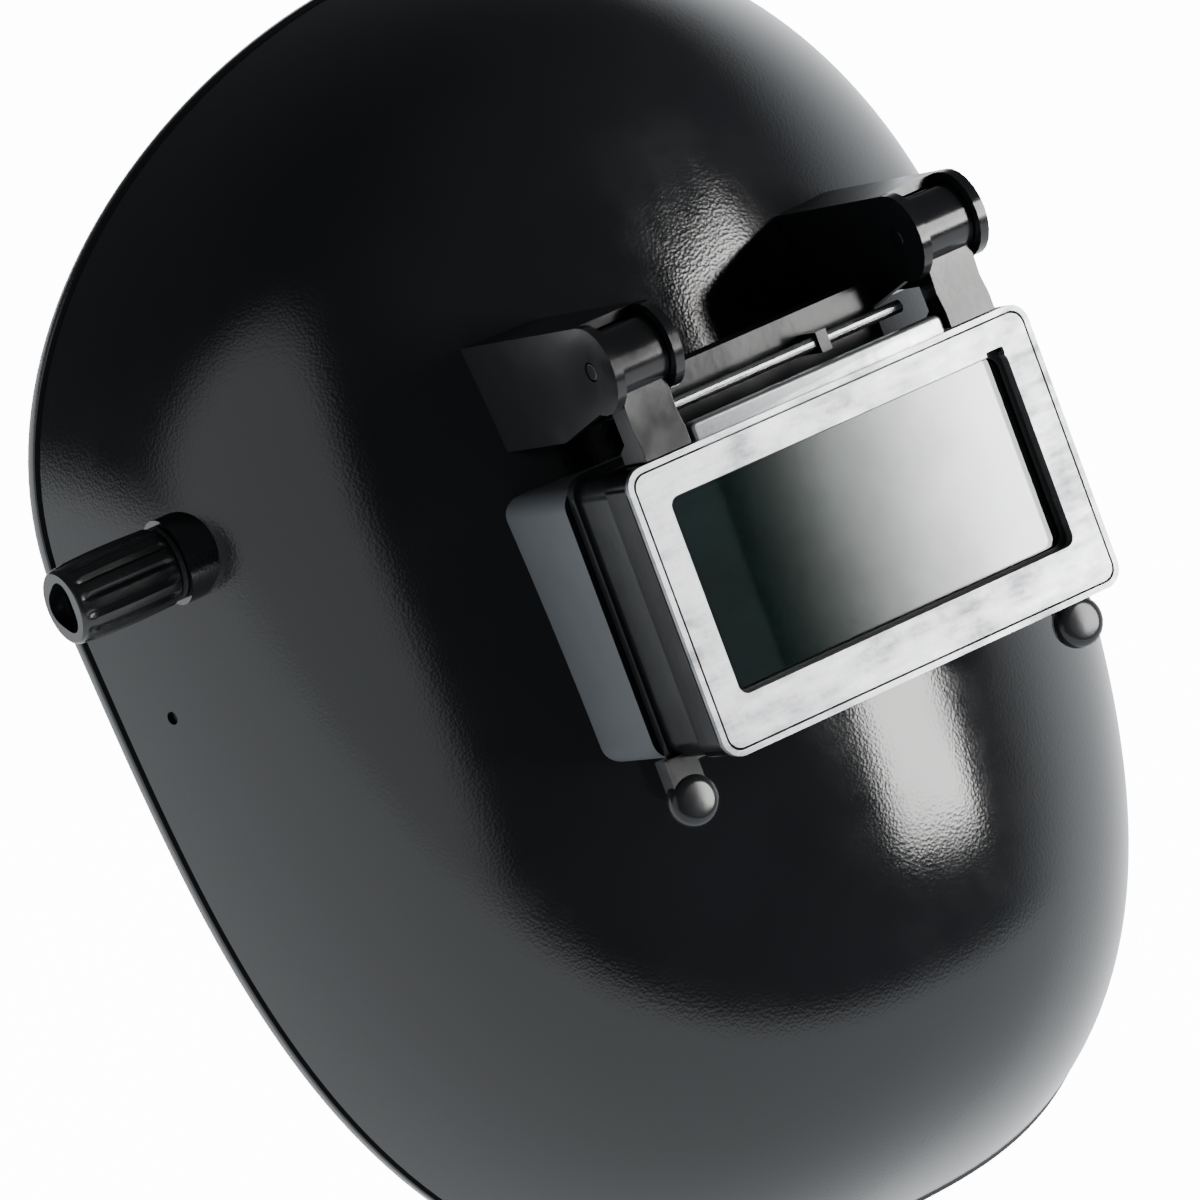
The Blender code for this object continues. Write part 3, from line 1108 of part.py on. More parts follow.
def make_adjuster():
    back_y = ADJUSTER_Y + HOUSING_WALL / 2
    plate_back = plate("adjuster_back_plate", [rounded_rectangle(HOUSING_WIDTH, HOUSING_HEIGHT, 8 * MM),
                                               circle(2.3 * MM)],
                       HOUSING_WALL, facing_front(back_y, z=ADJUSTER_Z))
    dress(plate_back, "satin_black")
    for side, end in ((1, "left"), (-1, "right")):
        rack = plate(f"size_rack_{end}", [rack_outline(side)], RACK_THICKNESS,
                     facing_front(RACK_Y, z=ADJUSTER_Z))
        dress(rack, "satin_black")
    cover_front = ADJUSTER_Y + HOUSING_WALL + GAP
    cover_depth = RACK_THICKNESS + 2 * GAP + HOUSING_WALL
    cover = plate("adjuster_cover", [rounded_rectangle(HOUSING_WIDTH, HOUSING_HEIGHT, 8 * MM)],
                  cover_depth, facing_front(cover_front + cover_depth / 2, z=ADJUSTER_Z))
    inner = box("cover_channel",
                (-0.05, cover_front - 0.01, ADJUSTER_Z - PITCH_RADIUS - RACK_HEIGHT - GAP),
                (0.05, cover_front + RACK_THICKNESS + 2 * GAP, ADJUSTER_Z + PITCH_RADIUS + RACK_HEIGHT + GAP),
                cutters)
    shaft_hole = rod("cover_shaft_hole", 4 * MM + GAP, (0, cover_front - 0.01, ADJUSTER_Z),
                     (0, cover_front + 0.03, ADJUSTER_Z), "Y", 24, cutters)
    cut(cover, inner, shaft_hole)
    dress(cover, "satin_black")

    pinion = plate("size_pinion", [pinion_outline()], RACK_THICKNESS, facing_front(RACK_Y, z=ADJUSTER_Z))
    knob_y = cover_front + cover_depth + GAP
    shaft = rod("pinion_shaft", 4 * MM, (0, RACK_Y, ADJUSTER_Z), (0, knob_y + 4 * MM, ADJUSTER_Z),
                "Y", 24, cutters)
    stub = rod("pinion_stub", 2 * MM, (0, ADJUSTER_Y + 0.2 * MM, ADJUSTER_Z), (0, RACK_Y, ADJUSTER_Z),
               "Y", 16, cutters)
    join(pinion, shaft, stub)
    dress(pinion, "steel")

    sides = 36
    lobes = 9
    rings = []
    for share, swell in ((0.0, 0.95), (0.12, 1.0), (0.8, 0.96), (1.0, 0.84)):
        ring = []
        for n in range(sides):
            angle = 2 * pi * n / sides
            radius = ADJUSTER_RADIUS * (swell - 0.05 * max(0.0, cos(angle * lobes)) ** 2)
            ring.append(Vector((radius * cos(angle), knob_y + share * ADJUSTER_LENGTH,
                                ADJUSTER_Z + radius * sin(angle))))
        rings.append(ring)
    tips = [Vector((0, knob_y + share * ADJUSTER_LENGTH, ADJUSTER_Z)) for share in (0, 1)]
    knob = ring_mesh("adjuster_knob", rings, tips[0], tips[1])
    socket = rod("knob_socket", 4 * MM + GAP, (0, knob_y - 0.01, ADJUSTER_Z),
                 (0, knob_y + 4 * MM + GAP, ADJUSTER_Z), "Y", 24, cutters)
    cut(knob, socket)
    dress(knob, "black")


# ---- the assembly --------------------------------------------------------------------------
make_shell()
make_window_base()
make_cover()
for side in (-1, 1):
    make_hinge(side)
    make_pivot(side)
    make_side_arm(side)
    make_crown_strap(side)
make_crown_peg()
make_headband()
make_adjuster()


def hang(name, place, starts, parent=None):
    """Parents pieces to an empty on their joint's axis, without moving them."""
    pivot = link(name, None)
    pivot.location = place
    pivot.parent = parent
    for piece in helmet.objects:
        if piece.type == "MESH" and piece.name.startswith(starts):
            piece.parent = pivot
            piece.matrix_parent_inverse = Matrix.Translation(place).inverted()
    return pivot


tilt = hang("shell_tilt_axis", (0, 0, 0), (
    "shell", "window_", "base_screw", "inner_lens", "inner_safety", "hinge_", "bracket_screw",
    "stop_pin", "friction_washer"))
hang("cover_flip_axis", (0, window_y(HINGE_BACK), window_z(HINGE_RISE)),
     ("cover_", "filter_lens", "lens_retainer"), tilt)
hang("knob_turn_axis", (0, 0, 0), ("tension_knob", "knob_nut"), tilt)
hang("size_turn_axis", (0, ADJUSTER_Y, ADJUSTER_Z), ("adjuster_knob", "size_pinion"))
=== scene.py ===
"""Looks of the flip-front welding helmet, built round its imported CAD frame.

Lengths are metres in the row frame: +Z up, -Y the front, +X the wearer's left, and the origin
is the middle of the tilt axis.
"""

import json
from math import cos, pi, radians, sin, sqrt, tan

import bmesh
import bpy
from mathutils import Matrix, Vector

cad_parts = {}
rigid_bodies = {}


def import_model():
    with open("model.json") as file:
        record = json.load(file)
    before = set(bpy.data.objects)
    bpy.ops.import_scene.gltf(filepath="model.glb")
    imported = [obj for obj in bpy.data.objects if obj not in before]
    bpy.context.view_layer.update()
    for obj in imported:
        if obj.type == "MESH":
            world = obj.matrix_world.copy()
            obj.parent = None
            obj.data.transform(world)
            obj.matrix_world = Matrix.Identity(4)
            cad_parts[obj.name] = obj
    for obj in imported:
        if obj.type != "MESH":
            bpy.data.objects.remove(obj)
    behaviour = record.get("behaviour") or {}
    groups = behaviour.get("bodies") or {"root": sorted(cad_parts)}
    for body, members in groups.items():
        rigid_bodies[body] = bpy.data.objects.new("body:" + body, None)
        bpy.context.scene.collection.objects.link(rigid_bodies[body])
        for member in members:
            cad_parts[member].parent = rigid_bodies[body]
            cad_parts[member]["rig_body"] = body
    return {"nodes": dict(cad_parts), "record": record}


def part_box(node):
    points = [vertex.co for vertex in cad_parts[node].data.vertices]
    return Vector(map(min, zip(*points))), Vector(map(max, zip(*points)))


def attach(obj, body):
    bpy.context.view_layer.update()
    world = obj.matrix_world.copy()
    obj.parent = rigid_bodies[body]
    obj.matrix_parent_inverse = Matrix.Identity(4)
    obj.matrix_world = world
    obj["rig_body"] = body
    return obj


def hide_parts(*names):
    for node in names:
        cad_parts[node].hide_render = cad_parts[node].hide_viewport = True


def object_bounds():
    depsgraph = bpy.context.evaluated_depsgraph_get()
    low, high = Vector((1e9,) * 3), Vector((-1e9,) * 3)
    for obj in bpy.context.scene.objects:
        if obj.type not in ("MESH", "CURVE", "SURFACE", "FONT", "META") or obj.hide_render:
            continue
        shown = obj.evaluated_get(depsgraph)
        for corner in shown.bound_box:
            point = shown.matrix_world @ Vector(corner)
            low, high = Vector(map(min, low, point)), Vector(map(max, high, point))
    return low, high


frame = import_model()
cad_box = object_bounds()
nodes_by_name = frame["nodes"]
MM = 0.001
SIDES = ((1, "left"), (-1, "right"))


# ---- materials -----------------------------------------------------------------------------
def new_material(name):
    made = bpy.data.materials.new(name)
    made.use_nodes = True
    shader = made.node_tree.nodes["Principled BSDF"]
    return made, made.node_tree, shader


def noise(tree, scale, detail=3.0, roughness=0.55, stretch=(1, 1, 1)):
    """Noise in the piece's own coordinates. The scale is cells per metre."""
    nodes = tree.nodes
    place = nodes.get("place")
    if place is None:
        place = nodes.new("ShaderNodeTexCoord")
        place.name = "place"
    mapping = nodes.new("ShaderNodeMapping")
    mapping.inputs["Scale"].default_value = stretch
    tree.links.new(place.outputs["Object"], mapping.inputs["Vector"])
    texture = nodes.new("ShaderNodeTexNoise")
    texture.inputs["Scale"].default_value = scale
    texture.inputs["Detail"].default_value = detail
    texture.inputs["Roughness"].default_value = roughness
    tree.links.new(mapping.outputs["Vector"], texture.inputs["Vector"])
    return texture.outputs["Fac"]


def cells(tree, scale):
    """Round cells in the piece's own coordinates. The scale is cells per metre."""
    nodes = tree.nodes
    place = nodes.get("place") or nodes.new("ShaderNodeTexCoord")
    place.name = "place"
    texture = nodes.new("ShaderNodeTexVoronoi")
    texture.inputs["Scale"].default_value = scale
    tree.links.new(place.outputs["Object"], texture.inputs["Vector"])
    return texture.outputs["Distance"]


def ramp(tree, factor, stops):
    made = tree.nodes.new("ShaderNodeValToRGB")
    elements = made.color_ramp.elements
    while len(elements) < len(stops):
        elements.new(0.5)
    for element, (at, colour) in zip(elements, stops):
        element.position = at
        element.color = (*colour, 1.0)
    tree.links.new(factor, made.inputs["Fac"])
    return made.outputs["Color"]


def spread(tree, factor, low, high, start=0.3, end=0.7):
    """Maps a texture's middle range onto low to high."""
    made = tree.nodes.new("ShaderNodeMapRange")
    made.inputs["From Min"].default_value = start
    made.inputs["From Max"].default_value = end
    made.inputs["To Min"].default_value = low
    made.inputs["To Max"].default_value = high
    tree.links.new(factor, made.inputs["Value"])
    return made.outputs["Result"]


def bump(tree, shader, layers):
    """Chained bumps. Each layer is (height, strength, depth in metres)."""
    last = None
    for height, strength, depth in layers:
        made = tree.nodes.new("ShaderNodeBump")
        made.inputs["Strength"].default_value = strength
        made.inputs["Distance"].default_value = depth
        tree.links.new(height, made.inputs["Height"])
        if last is not None:
            tree.links.new(last, made.inputs["Normal"])
        last = made.outputs["Normal"]
    tree.links.new(last, shader.inputs["Normal"])


def moulded(name, dark, light, rough, grain, strength, metallic=0.0, blotch=14, stretch=(1, 1, 1),
            depth=0.15 * MM, fine=None, specular=0.5):
    """Moulded plastic, rubber or metal: slow colour and gloss changes over a fine grain."""
    made, tree, shader = new_material(name)
    slow = noise(tree, blotch, 4.0)
    speckle = noise(tree, grain, 2.0, stretch=stretch)
    tree.links.new(ramp(tree, slow, ((0.3, dark), (0.7, light))), shader.inputs["Base Color"])
    tree.links.new(spread(tree, noise(tree, blotch * 5, 5.0), *rough), shader.inputs["Roughness"])
    shader.inputs["Metallic"].default_value = metallic
    shader.inputs["Specular IOR Level"].default_value = specular
    layers = [(speckle, strength, depth)]
    if fine:
        layers.append((cells(tree, fine), strength * 0.6, depth * 0.6))
    bump(tree, shader, layers)
    return made


def shell_finish():
    """Glossy black moulding with a fine leather grain that breaks up the edge of a highlight."""
    made, tree, shader = new_material("shell_gloss")
    slow = noise(tree, 9, 4.0)
    tree.links.new(ramp(tree, slow, ((0.25, (0.0045, 0.005, 0.006)), (0.75, (0.008, 0.009, 0.0105)))),
                   shader.inputs["Base Color"])
    tree.links.new(spread(tree, noise(tree, 60, 6.0, 0.65), 0.09, 0.17), shader.inputs["Roughness"])
    bump(tree, shader, [
        (cells(tree, 1150), 0.30, 0.06 * MM),
        (noise(tree, 2200, 2.0), 0.22, 0.04 * MM),
        (noise(tree, 20, 1.0), 0.03, 0.5 * MM)])
    return made


def silver_finish(name, low, high):
    """Worn bright metal: clouded, with smears and faint scratches."""
    made, tree, shader = new_material(name)
    cloud = noise(tree, 70, 8.0, 0.72)
    smear = noise(tree, 190, 6.0, 0.7, (0.35, 1, 1.6))
    mixed = tree.nodes.new("ShaderNodeMath")
    mixed.operation = "MULTIPLY_ADD"
    mixed.inputs[1].default_value = 0.55
    tree.links.new(cloud, mixed.inputs[0])
    scaled = tree.nodes.new("ShaderNodeMath")
    scaled.operation = "MULTIPLY"
    scaled.inputs[1].default_value = 0.45
    tree.links.new(smear, scaled.inputs[0])
    tree.links.new(scaled.outputs["Value"], mixed.inputs[2])
    worn = mixed.outputs["Value"]
    tree.links.new(ramp(tree, worn, ((0.36, low), (0.5, tuple((a + 2 * b) / 3 for a, b in zip(low, high))),
                                     (0.62, high))), shader.inputs["Base Color"])
    tree.links.new(spread(tree, worn, 0.46, 0.26, 0.38, 0.62), shader.inputs["Roughness"])
    shader.inputs["Metallic"].default_value = 0.9
    scratch = noise(tree, 420, 3.0, 0.6, (0.08, 1, 1.4))
    bump(tree, shader, [(scratch, 0.12, 0.05 * MM), (worn, 0.16, 0.10 * MM)])
    return made


def steel_finish(name, colour, stretch):
    made, tree, shader = new_material(name)
    lines = noise(tree, 900, 3.0, 0.6, stretch)
    darker = tuple(channel * 0.72 for channel in colour)
    tree.links.new(ramp(tree, noise(tree, 160, 5.0), ((0.3, darker), (0.68, colour))),
                   shader.inputs["Base Color"])
    tree.links.new(spread(tree, lines, 0.2, 0.38), shader.inputs["Roughness"])
    shader.inputs["Metallic"].default_value = 1.0
    bump(tree, shader, [(lines, 0.1, 0.03 * MM)])
    return made


def glass_finish(name, colour, clear, rough, coat):
    made, tree, shader = new_material(name)
    smudge = noise(tree, 45, 6.0, 0.7)
    tint = tuple(channel * 0.85 for channel in colour)
    tree.links.new(ramp(tree, smudge, ((0.35, tint), (0.65, colour))), shader.inputs["Base Color"])
    tree.links.new(spread(tree, smudge, rough, rough * 2.2), shader.inputs["Roughness"])
    shader.inputs["Transmission Weight"].default_value = clear
    shader.inputs["IOR"].default_value = 1.52
    shader.inputs["Coat Weight"].default_value = coat
    shader.inputs["Coat Roughness"].default_value = 0.02
    shader.inputs["Coat IOR"].default_value = 1.9
    bump(tree, shader, [(noise(tree, 20, 2.0), 0.02, 0.1 * MM)])
    return made


def fabric_finish(name, dark, light, pile):
    """Padded cloth: a short looped pile with slow wear."""
    made, tree, shader = new_material(name)
    loops = cells(tree, pile)
    fuzz = noise(tree, pile * 1.7, 4.0, 0.7)
    tree.links.new(ramp(tree, loops, ((0.05, light), (0.6, dark))), shader.inputs["Base Color"])
    tree.links.new(spread(tree, noise(tree, 60, 4.0), 0.82, 0.97), shader.inputs["Roughness"])
    shader.inputs["Sheen Weight"].default_value = 0.35
    shader.inputs["Sheen Roughness"].default_value = 0.5
    bump(tree, shader, [(loops, 0.55, 0.5 * MM), (fuzz, 0.4, 0.3 * MM)])
    return made


FINISH = {
    "shell_black": shell_finish(),
    "knob_black": moulded("knob_moulding", (0.006, 0.0065, 0.0075), (0.011, 0.012, 0.013), (0.2, 0.34),
                          700, 0.12, fine=1300),
    # Painted reflection: this grey is brightened to stand in for the light zone mirrored on the black plastic
    # sides of the window boss.
    "base_grey": moulded("base_moulding_and_painted_reflection", (0.085, 0.092, 0.1), (0.115, 0.124, 0.134), (0.3, 0.44),
                         900, 0.16, fine=1600),
    "cover_silver": silver_finish("cover_worn_silver", (0.15, 0.155, 0.165), (0.36, 0.37, 0.385)),
    "hinge_black": moulded("hinge_moulding", (0.005, 0.0055, 0.006), (0.009, 0.0095, 0.011), (0.12, 0.24),
                           420, 0.08),
    "cover_black": moulded("cover_body_moulding", (0.004, 0.0044, 0.005), (0.007, 0.0075, 0.0085),
                           (0.1, 0.2), 420, 0.08, specular=0.12),
    "base_black": moulded("base_frame_moulding", (0.009, 0.01, 0.011), (0.015, 0.0165, 0.018),
                          (0.14, 0.26), 520, 0.1, specular=0.35),
    "filter_glass": glass_finish("filter_dark_glass", (0.004, 0.02, 0.018), 0.0, 0.02, 1.0),
    "clear_glass": glass_finish("cover_clear_glass", (0.93, 0.97, 0.96), 1.0, 0.008, 0.0),
    "rubber": moulded("rubber_matt", (0.012, 0.012, 0.012), (0.022, 0.022, 0.023), (0.72, 0.9), 1200, 0.3),
    "sweat_fabric": fabric_finish("sweatband_towelling", (0.012, 0.012, 0.014), (0.05, 0.05, 0.056), 900),
    "nape_fabric": fabric_finish("nape_pad_cloth", (0.01, 0.01, 0.012), (0.042, 0.042, 0.047), 1250),
    "steel": steel_finish("zinc_plated_steel", (0.62, 0.63, 0.64), (0.15, 1, 1)),
    "gear_nylon": moulded("gear_nylon", (0.42, 0.42, 0.39), (0.55, 0.55, 0.51), (0.38, 0.52), 700, 0.15),
    "harness_black": moulded("harness_moulding", (0.009, 0.0095, 0.0105), (0.016, 0.0165, 0.018),
                             (0.4, 0.58), 850, 0.2, fine=1500),
}
SLOT_OF = {part["node"]: part["material_slot"] for part in frame["record"]["subparts"]}
FINISH_OF = {"cover_frame": "cover_black", "window_base_frame": "base_black",
             "hinge_pin_left": "hinge_black", "hinge_pin_right": "hinge_black"}


# ---- helpers -------------------------------------------------------------------------------
def body_of(node):
    return nodes_by_name[node]["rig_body"]


def paint(piece, slot, finish=None):
    piece.data.materials.clear()
    piece.data.materials.append(FINISH[finish or slot])


def smooth(piece, angle=35):
    piece.data.shade_smooth()
    piece.data.set_sharp_from_angle(angle=radians(angle))


def new_piece(name, mesh):
    piece = bpy.data.objects.new(name, mesh)
    bpy.context.scene.collection.objects.link(piece)
    return piece


def from_bmesh(name, shape):
    bmesh.ops.recalc_face_normals(shape, faces=shape.faces)
    mesh = bpy.data.meshes.new(name)
    shape.to_mesh(mesh)
    shape.free()
    return new_piece(name, mesh)


def soften(piece, width, segments=2, angle=32):
    bevel = piece.modifiers.new("Bevel", "BEVEL")
    bevel.width = width
    bevel.segments = segments
    bevel.limit_method = "ANGLE"
    bevel.angle_limit = radians(angle)
    bevel.use_clamp_overlap = True
    bevel.harden_normals = True
    return piece


def settle(piece):
    """Applies the modifiers."""
    bpy.context.view_layer.update()
    graph = bpy.context.evaluated_depsgraph_get()
    mesh = bpy.data.meshes.new_from_object(piece.evaluated_get(graph))
    piece.modifiers.clear()
    piece.data = mesh
    return piece


def stands_for(piece, node):
    """The piece takes the place of this CAD node, with its body and finish."""
    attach(piece, body_of(node))
    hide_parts(node)
    paint(piece, SLOT_OF[node], FINISH_OF.get(node))
    return piece


def finished(node, bevel, segments):
    """The CAD node's own solid with its edges rounded."""
    shape = bmesh.new()
    shape.from_mesh(nodes_by_name[node].data)
    bmesh.ops.remove_doubles(shape, verts=shape.verts, dist=0.000004)
    bmesh.ops.dissolve_limit(shape, angle_limit=radians(0.6), verts=shape.verts, edges=shape.edges)
    points = [vertex.co.copy() for vertex in shape.verts]
    shape.verts.index_update()
    faces = [[vertex.index for vertex in face.verts] for face in shape.faces]
    shape.free()
    mesh = bpy.data.meshes.new(node + "_finished")
    mesh.from_pydata(points, [], faces)
    piece = new_piece(node + "_finished", mesh)
    smooth(piece, 32)
    soften(piece, bevel, segments)
    return stands_for(piece, node)


def rounded_outline(width, height, corner, centre=(0.0, 0.0), steps=8):
    points = []
    for turn, (side, rise) in enumerate(((1, 1), (-1, 1), (-1, -1), (1, -1))):
        middle = (centre[0] + side * (width / 2 - corner), centre[1] + rise * (height / 2 - corner))
        for step in range(steps + 1):
            angle = pi / 2 * (turn + step / steps)
            points.append((middle[0] + corner * cos(angle), middle[1] + corner * sin(angle)))
    return points


def slab(name, outline, front, back):
    """An outline in x and z, filled between two depths."""
    shape = bmesh.new()
    near = [shape.verts.new((x, front, z)) for x, z in outline]
    far = [shape.verts.new((x, back, z)) for x, z in outline]
    shape.faces.new(near)
    shape.faces.new(far)
    for n in range(len(outline)):
        m = (n + 1) % len(outline)
        shape.faces.new((near[n], near[m], far[m], far[n]))
    return from_bmesh(name, shape)


def pipe(name, radius, start, end, sides=48):
    """A cylinder between two points."""
    start, end = Vector(start), Vector(end)
    shape = bmesh.new()
    turn = (end - start).to_track_quat("Z", "Y").to_matrix().to_4x4()
    bmesh.ops.create_cone(shape, cap_ends=True, segments=sides, radius1=radius, radius2=radius,
                          depth=(end - start).length, matrix=Matrix.Translation((start + end) / 2) @ turn)
    return from_bmesh(name, shape)


def combine(piece, tools, operation):
    for tool in tools:
        step = piece.modifiers.new(tool.name, "BOOLEAN")
        step.operation = operation
        step.object = tool
        step.solver = "EXACT"
    settle(piece)
    for tool in tools:
        bpy.data.objects.remove(tool)
    return piece


def skin(name, rings, start=None, end=None):
    """A skin through rings of points, closed by a point at either end."""
    shape = bmesh.new()
    rows = [[shape.verts.new(point) for point in ring] for ring in rings]
    count = len(rings[0])
    for inner, outer in zip(rows, rows[1:]):
        for n in range(count):
            m = (n + 1) % count
            shape.faces.new((inner[n], inner[m], outer[m], outer[n]))
    for point, row in ((start, rows[0]), (end, rows[-1])):
        if point is not None:
            tip = shape.verts.new(point)
            for n in range(count):
                shape.faces.new((tip, row[n], row[(n + 1) % count]))
    return from_bmesh(name, shape)


# ---- shell ---------------------------------------------------------------------------------
SHELL_HALF_WIDTH = 129 * MM
SHELL_CROWN_Z = 113.5 * MM
SHELL_CHIN_Z = -221 * MM
SHELL_WIDEST_Z = -5.5 * MM
SHELL_DEPTH = 56 * MM
SHELL_WALL = 2.5 * MM
CROWN_POWER = 2.0
CHIN_POWER = 3.0
WALL_POWER = 8.0
FRONT_BEND = 3.69
RIM_CENTRE_Y = -18 * MM
RIM_LEAN = 0.143
RIM_SWEEP = 0.72
LIP_DEPTH = 5 * MM
LIP_STEP = 1.3 * MM
OUTLINE_STEPS = 224
RING_STEPS = 54
WINDOW_Z = -46 * MM
VIEW_LIFT = 1.75 * MM
BOSS_SIZE = (122 * MM, 69 * MM)
BOSS_WALL = 2.6 * MM
BOSS_FRONT = 3.5 * MM
COVER_CORNER = 5 * MM
COVER_SIZE = (118 * MM, 72.8 * MM)
COVER_LIP = 1.4 * MM            # width of the bezel seen from the front
PLATE_SIZE = (114.2 * MM, 69 * MM)
PLATE_VIEW = (99.5 * MM, 50 * MM)
LENS_POCKET = (110.8 * MM, 60.8 * MM)
SEAT_X = {1: 119 * MM, -1: 120 * MM}


def signed_power(value, power):
    return abs(value) ** power * (1 if value >= 0 else -1)


def outline_point(angle):
    upper = sin(angle) > 0
    power = 2 / (CROWN_POWER if upper else CHIN_POWER)
    reach = SHELL_CROWN_Z - SHELL_WIDEST_Z if upper else SHELL_WIDEST_Z - SHELL_CHIN_Z
    return (SHELL_HALF_WIDTH * signed_power(cos(angle), power),
            SHELL_WIDEST_Z + reach * signed_power(sin(angle), power))


def shell_point(share, angle):
    x, z = outline_point(angle)
    x *= share
    z = SHELL_WIDEST_Z + share * (z - SHELL_WIDEST_Z)
    rim = RIM_CENTRE_Y + RIM_LEAN * z + RIM_SWEEP * z * z + FRONT_BEND * x * x
    return Vector((x, rim - SHELL_DEPTH * (1 - share ** WALL_POWER), z))


def outline_angles(count):
    """Angles that give even steps along the outline."""
    dense = [outline_point(2 * pi * n / 2880) for n in range(2881)]
    travelled = [0.0]
    for (x0, z0), (x1, z1) in zip(dense, dense[1:]):
        travelled.append(travelled[-1] + sqrt((x1 - x0) ** 2 + (z1 - z0) ** 2))
    angles, at = [], 0
    for step in range(count):
        wanted = travelled[-1] * step / count
        while travelled[at + 1] < wanted:
            at += 1
        share = (wanted - travelled[at]) / (travelled[at + 1] - travelled[at])
        angles.append(2 * pi * (at + share) / 2880)
    return angles


def shell_rings(shares, angles, offset=0.0):
    tiny = 0.0005
    rings = []
    for share in shares:
        ring = []
        for angle in angles:
            here = shell_point(share, angle)
            along = shell_point(share, angle + tiny) - shell_point(share, angle - tiny)
            across = here - shell_point(share - tiny, angle)
            ring.append(here + offset * across.cross(along).normalized())
        rings.append(ring)
    return rings


def build_shell():
    angles = outline_angles(OUTLINE_STEPS)
    shares = [0.03 + 0.97 * (1 - (1 - n / RING_STEPS) ** 1.55) for n in range(RING_STEPS + 1)]
    outer = shell_rings(shares, angles)
    inner = shell_rings(shares, angles, -SHELL_WALL)
    outwards = [Vector((p.x - q.x, 0, p.z - q.z)).normalized() for p, q in zip(outer[-1], outer[-3])]
    lip = []
    for rise, back in ((-0.28, 0.04), (-0.3, 0.1), (0.25, 0.15), (0.75, 0.2), (0.96, 0.28), (1.0, 0.38),
                       (1.0, 0.86), (0.9, 0.95), (0.6, 1.0), (-0.9, 1.0), (-1.5, 0.95)):
        lip.append([point + out * LIP_STEP * rise + Vector((0, LIP_DEPTH * back, 0))
                    for point, out in zip(outer[-1], outwards)])
    lip.append([Vector((point.x, point.y + LIP_DEPTH * 0.7, point.z)) for point in inner[-1]])
    centre = shell_point(0.0001, 0)
    shell = skin("shell_moulding", outer + lip + inner[::-1], centre, centre + Vector((0, SHELL_WALL, 0)))

    boss_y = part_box("window_base_frame")[1].y + 0.3 * MM
    boss = slab("boss", rounded_outline(*BOSS_SIZE, COVER_CORNER, (0, WINDOW_Z)), boss_y, boss_y + 60 * MM)
    filled = skin("boss_end", shell_rings(shares[:40], angles[::2], -SHELL_WALL * 0.7),
                  centre + Vector((0, SHELL_WALL * 0.7, 0)), Vector((0, 0.05, SHELL_WIDEST_Z)))
    combine(boss, [filled], "DIFFERENCE")
    seats = [pipe(f"seat_{side}", 11 * MM, (side * 109.5 * MM, 0, 0), (side * SEAT_X[side], 0, 0))
             for side, _ in SIDES]
    combine(shell, [boss] + seats, "UNION")
    inside = (BOSS_SIZE[0] - 2 * BOSS_WALL, BOSS_SIZE[1] - 2 * BOSS_WALL)
    tools = [
        slab("cavity", rounded_outline(*inside, 3 * MM, (0, WINDOW_Z)),
             boss_y + BOSS_FRONT, boss_y + 64 * MM),
        slab("view", rounded_outline(100 * MM, 50 * MM, 3 * MM, (0, WINDOW_Z + VIEW_LIFT)),
             boss_y - 30 * MM, boss_y + 30 * MM)]
    for side, _ in SIDES:
        tools += [
            pipe(f"face_{side}", 11 * MM, (side * SEAT_X[side], 0, 0), (side * 140 * MM, 0, 0)),
            pipe(f"inner_face_{side}", 13 * MM, (side * 90 * MM, 0, 0), (side * 109.5 * MM, 0, 0)),
            pipe(f"hole_{side}", 3.3 * MM, (side * 100 * MM, 0, 0), (side * 140 * MM, 0, 0), 32),
            pipe(f"stop_{side}", 1.7 * MM, (side * 110 * MM, 20.5 * MM, -38 * MM),
                 (side * 140 * MM, 20.5 * MM, -38 * MM), 24)]
    combine(shell, tools, "DIFFERENCE")
    smooth(shell, 28)
    stands_for(shell, "shell")
    # Painted reflection: faces of the window boss that face sideways get the lighter grey moulding, in place
    # of the light zone reflected in the black shell; faces towards the front stay black.
    shell.data.materials.append(FINISH["base_grey"])
    for face in shell.data.polygons:
        across, up = abs(face.center.x), abs(face.center.z - WINDOW_Z)
        within = across < BOSS_SIZE[0] / 2 + 0.3 * MM and up < BOSS_SIZE[1] / 2 + 0.3 * MM
        if within and face.center.y < boss_y + 34 * MM and abs(face.normal.y) < 0.5:
            face.material_index = 1


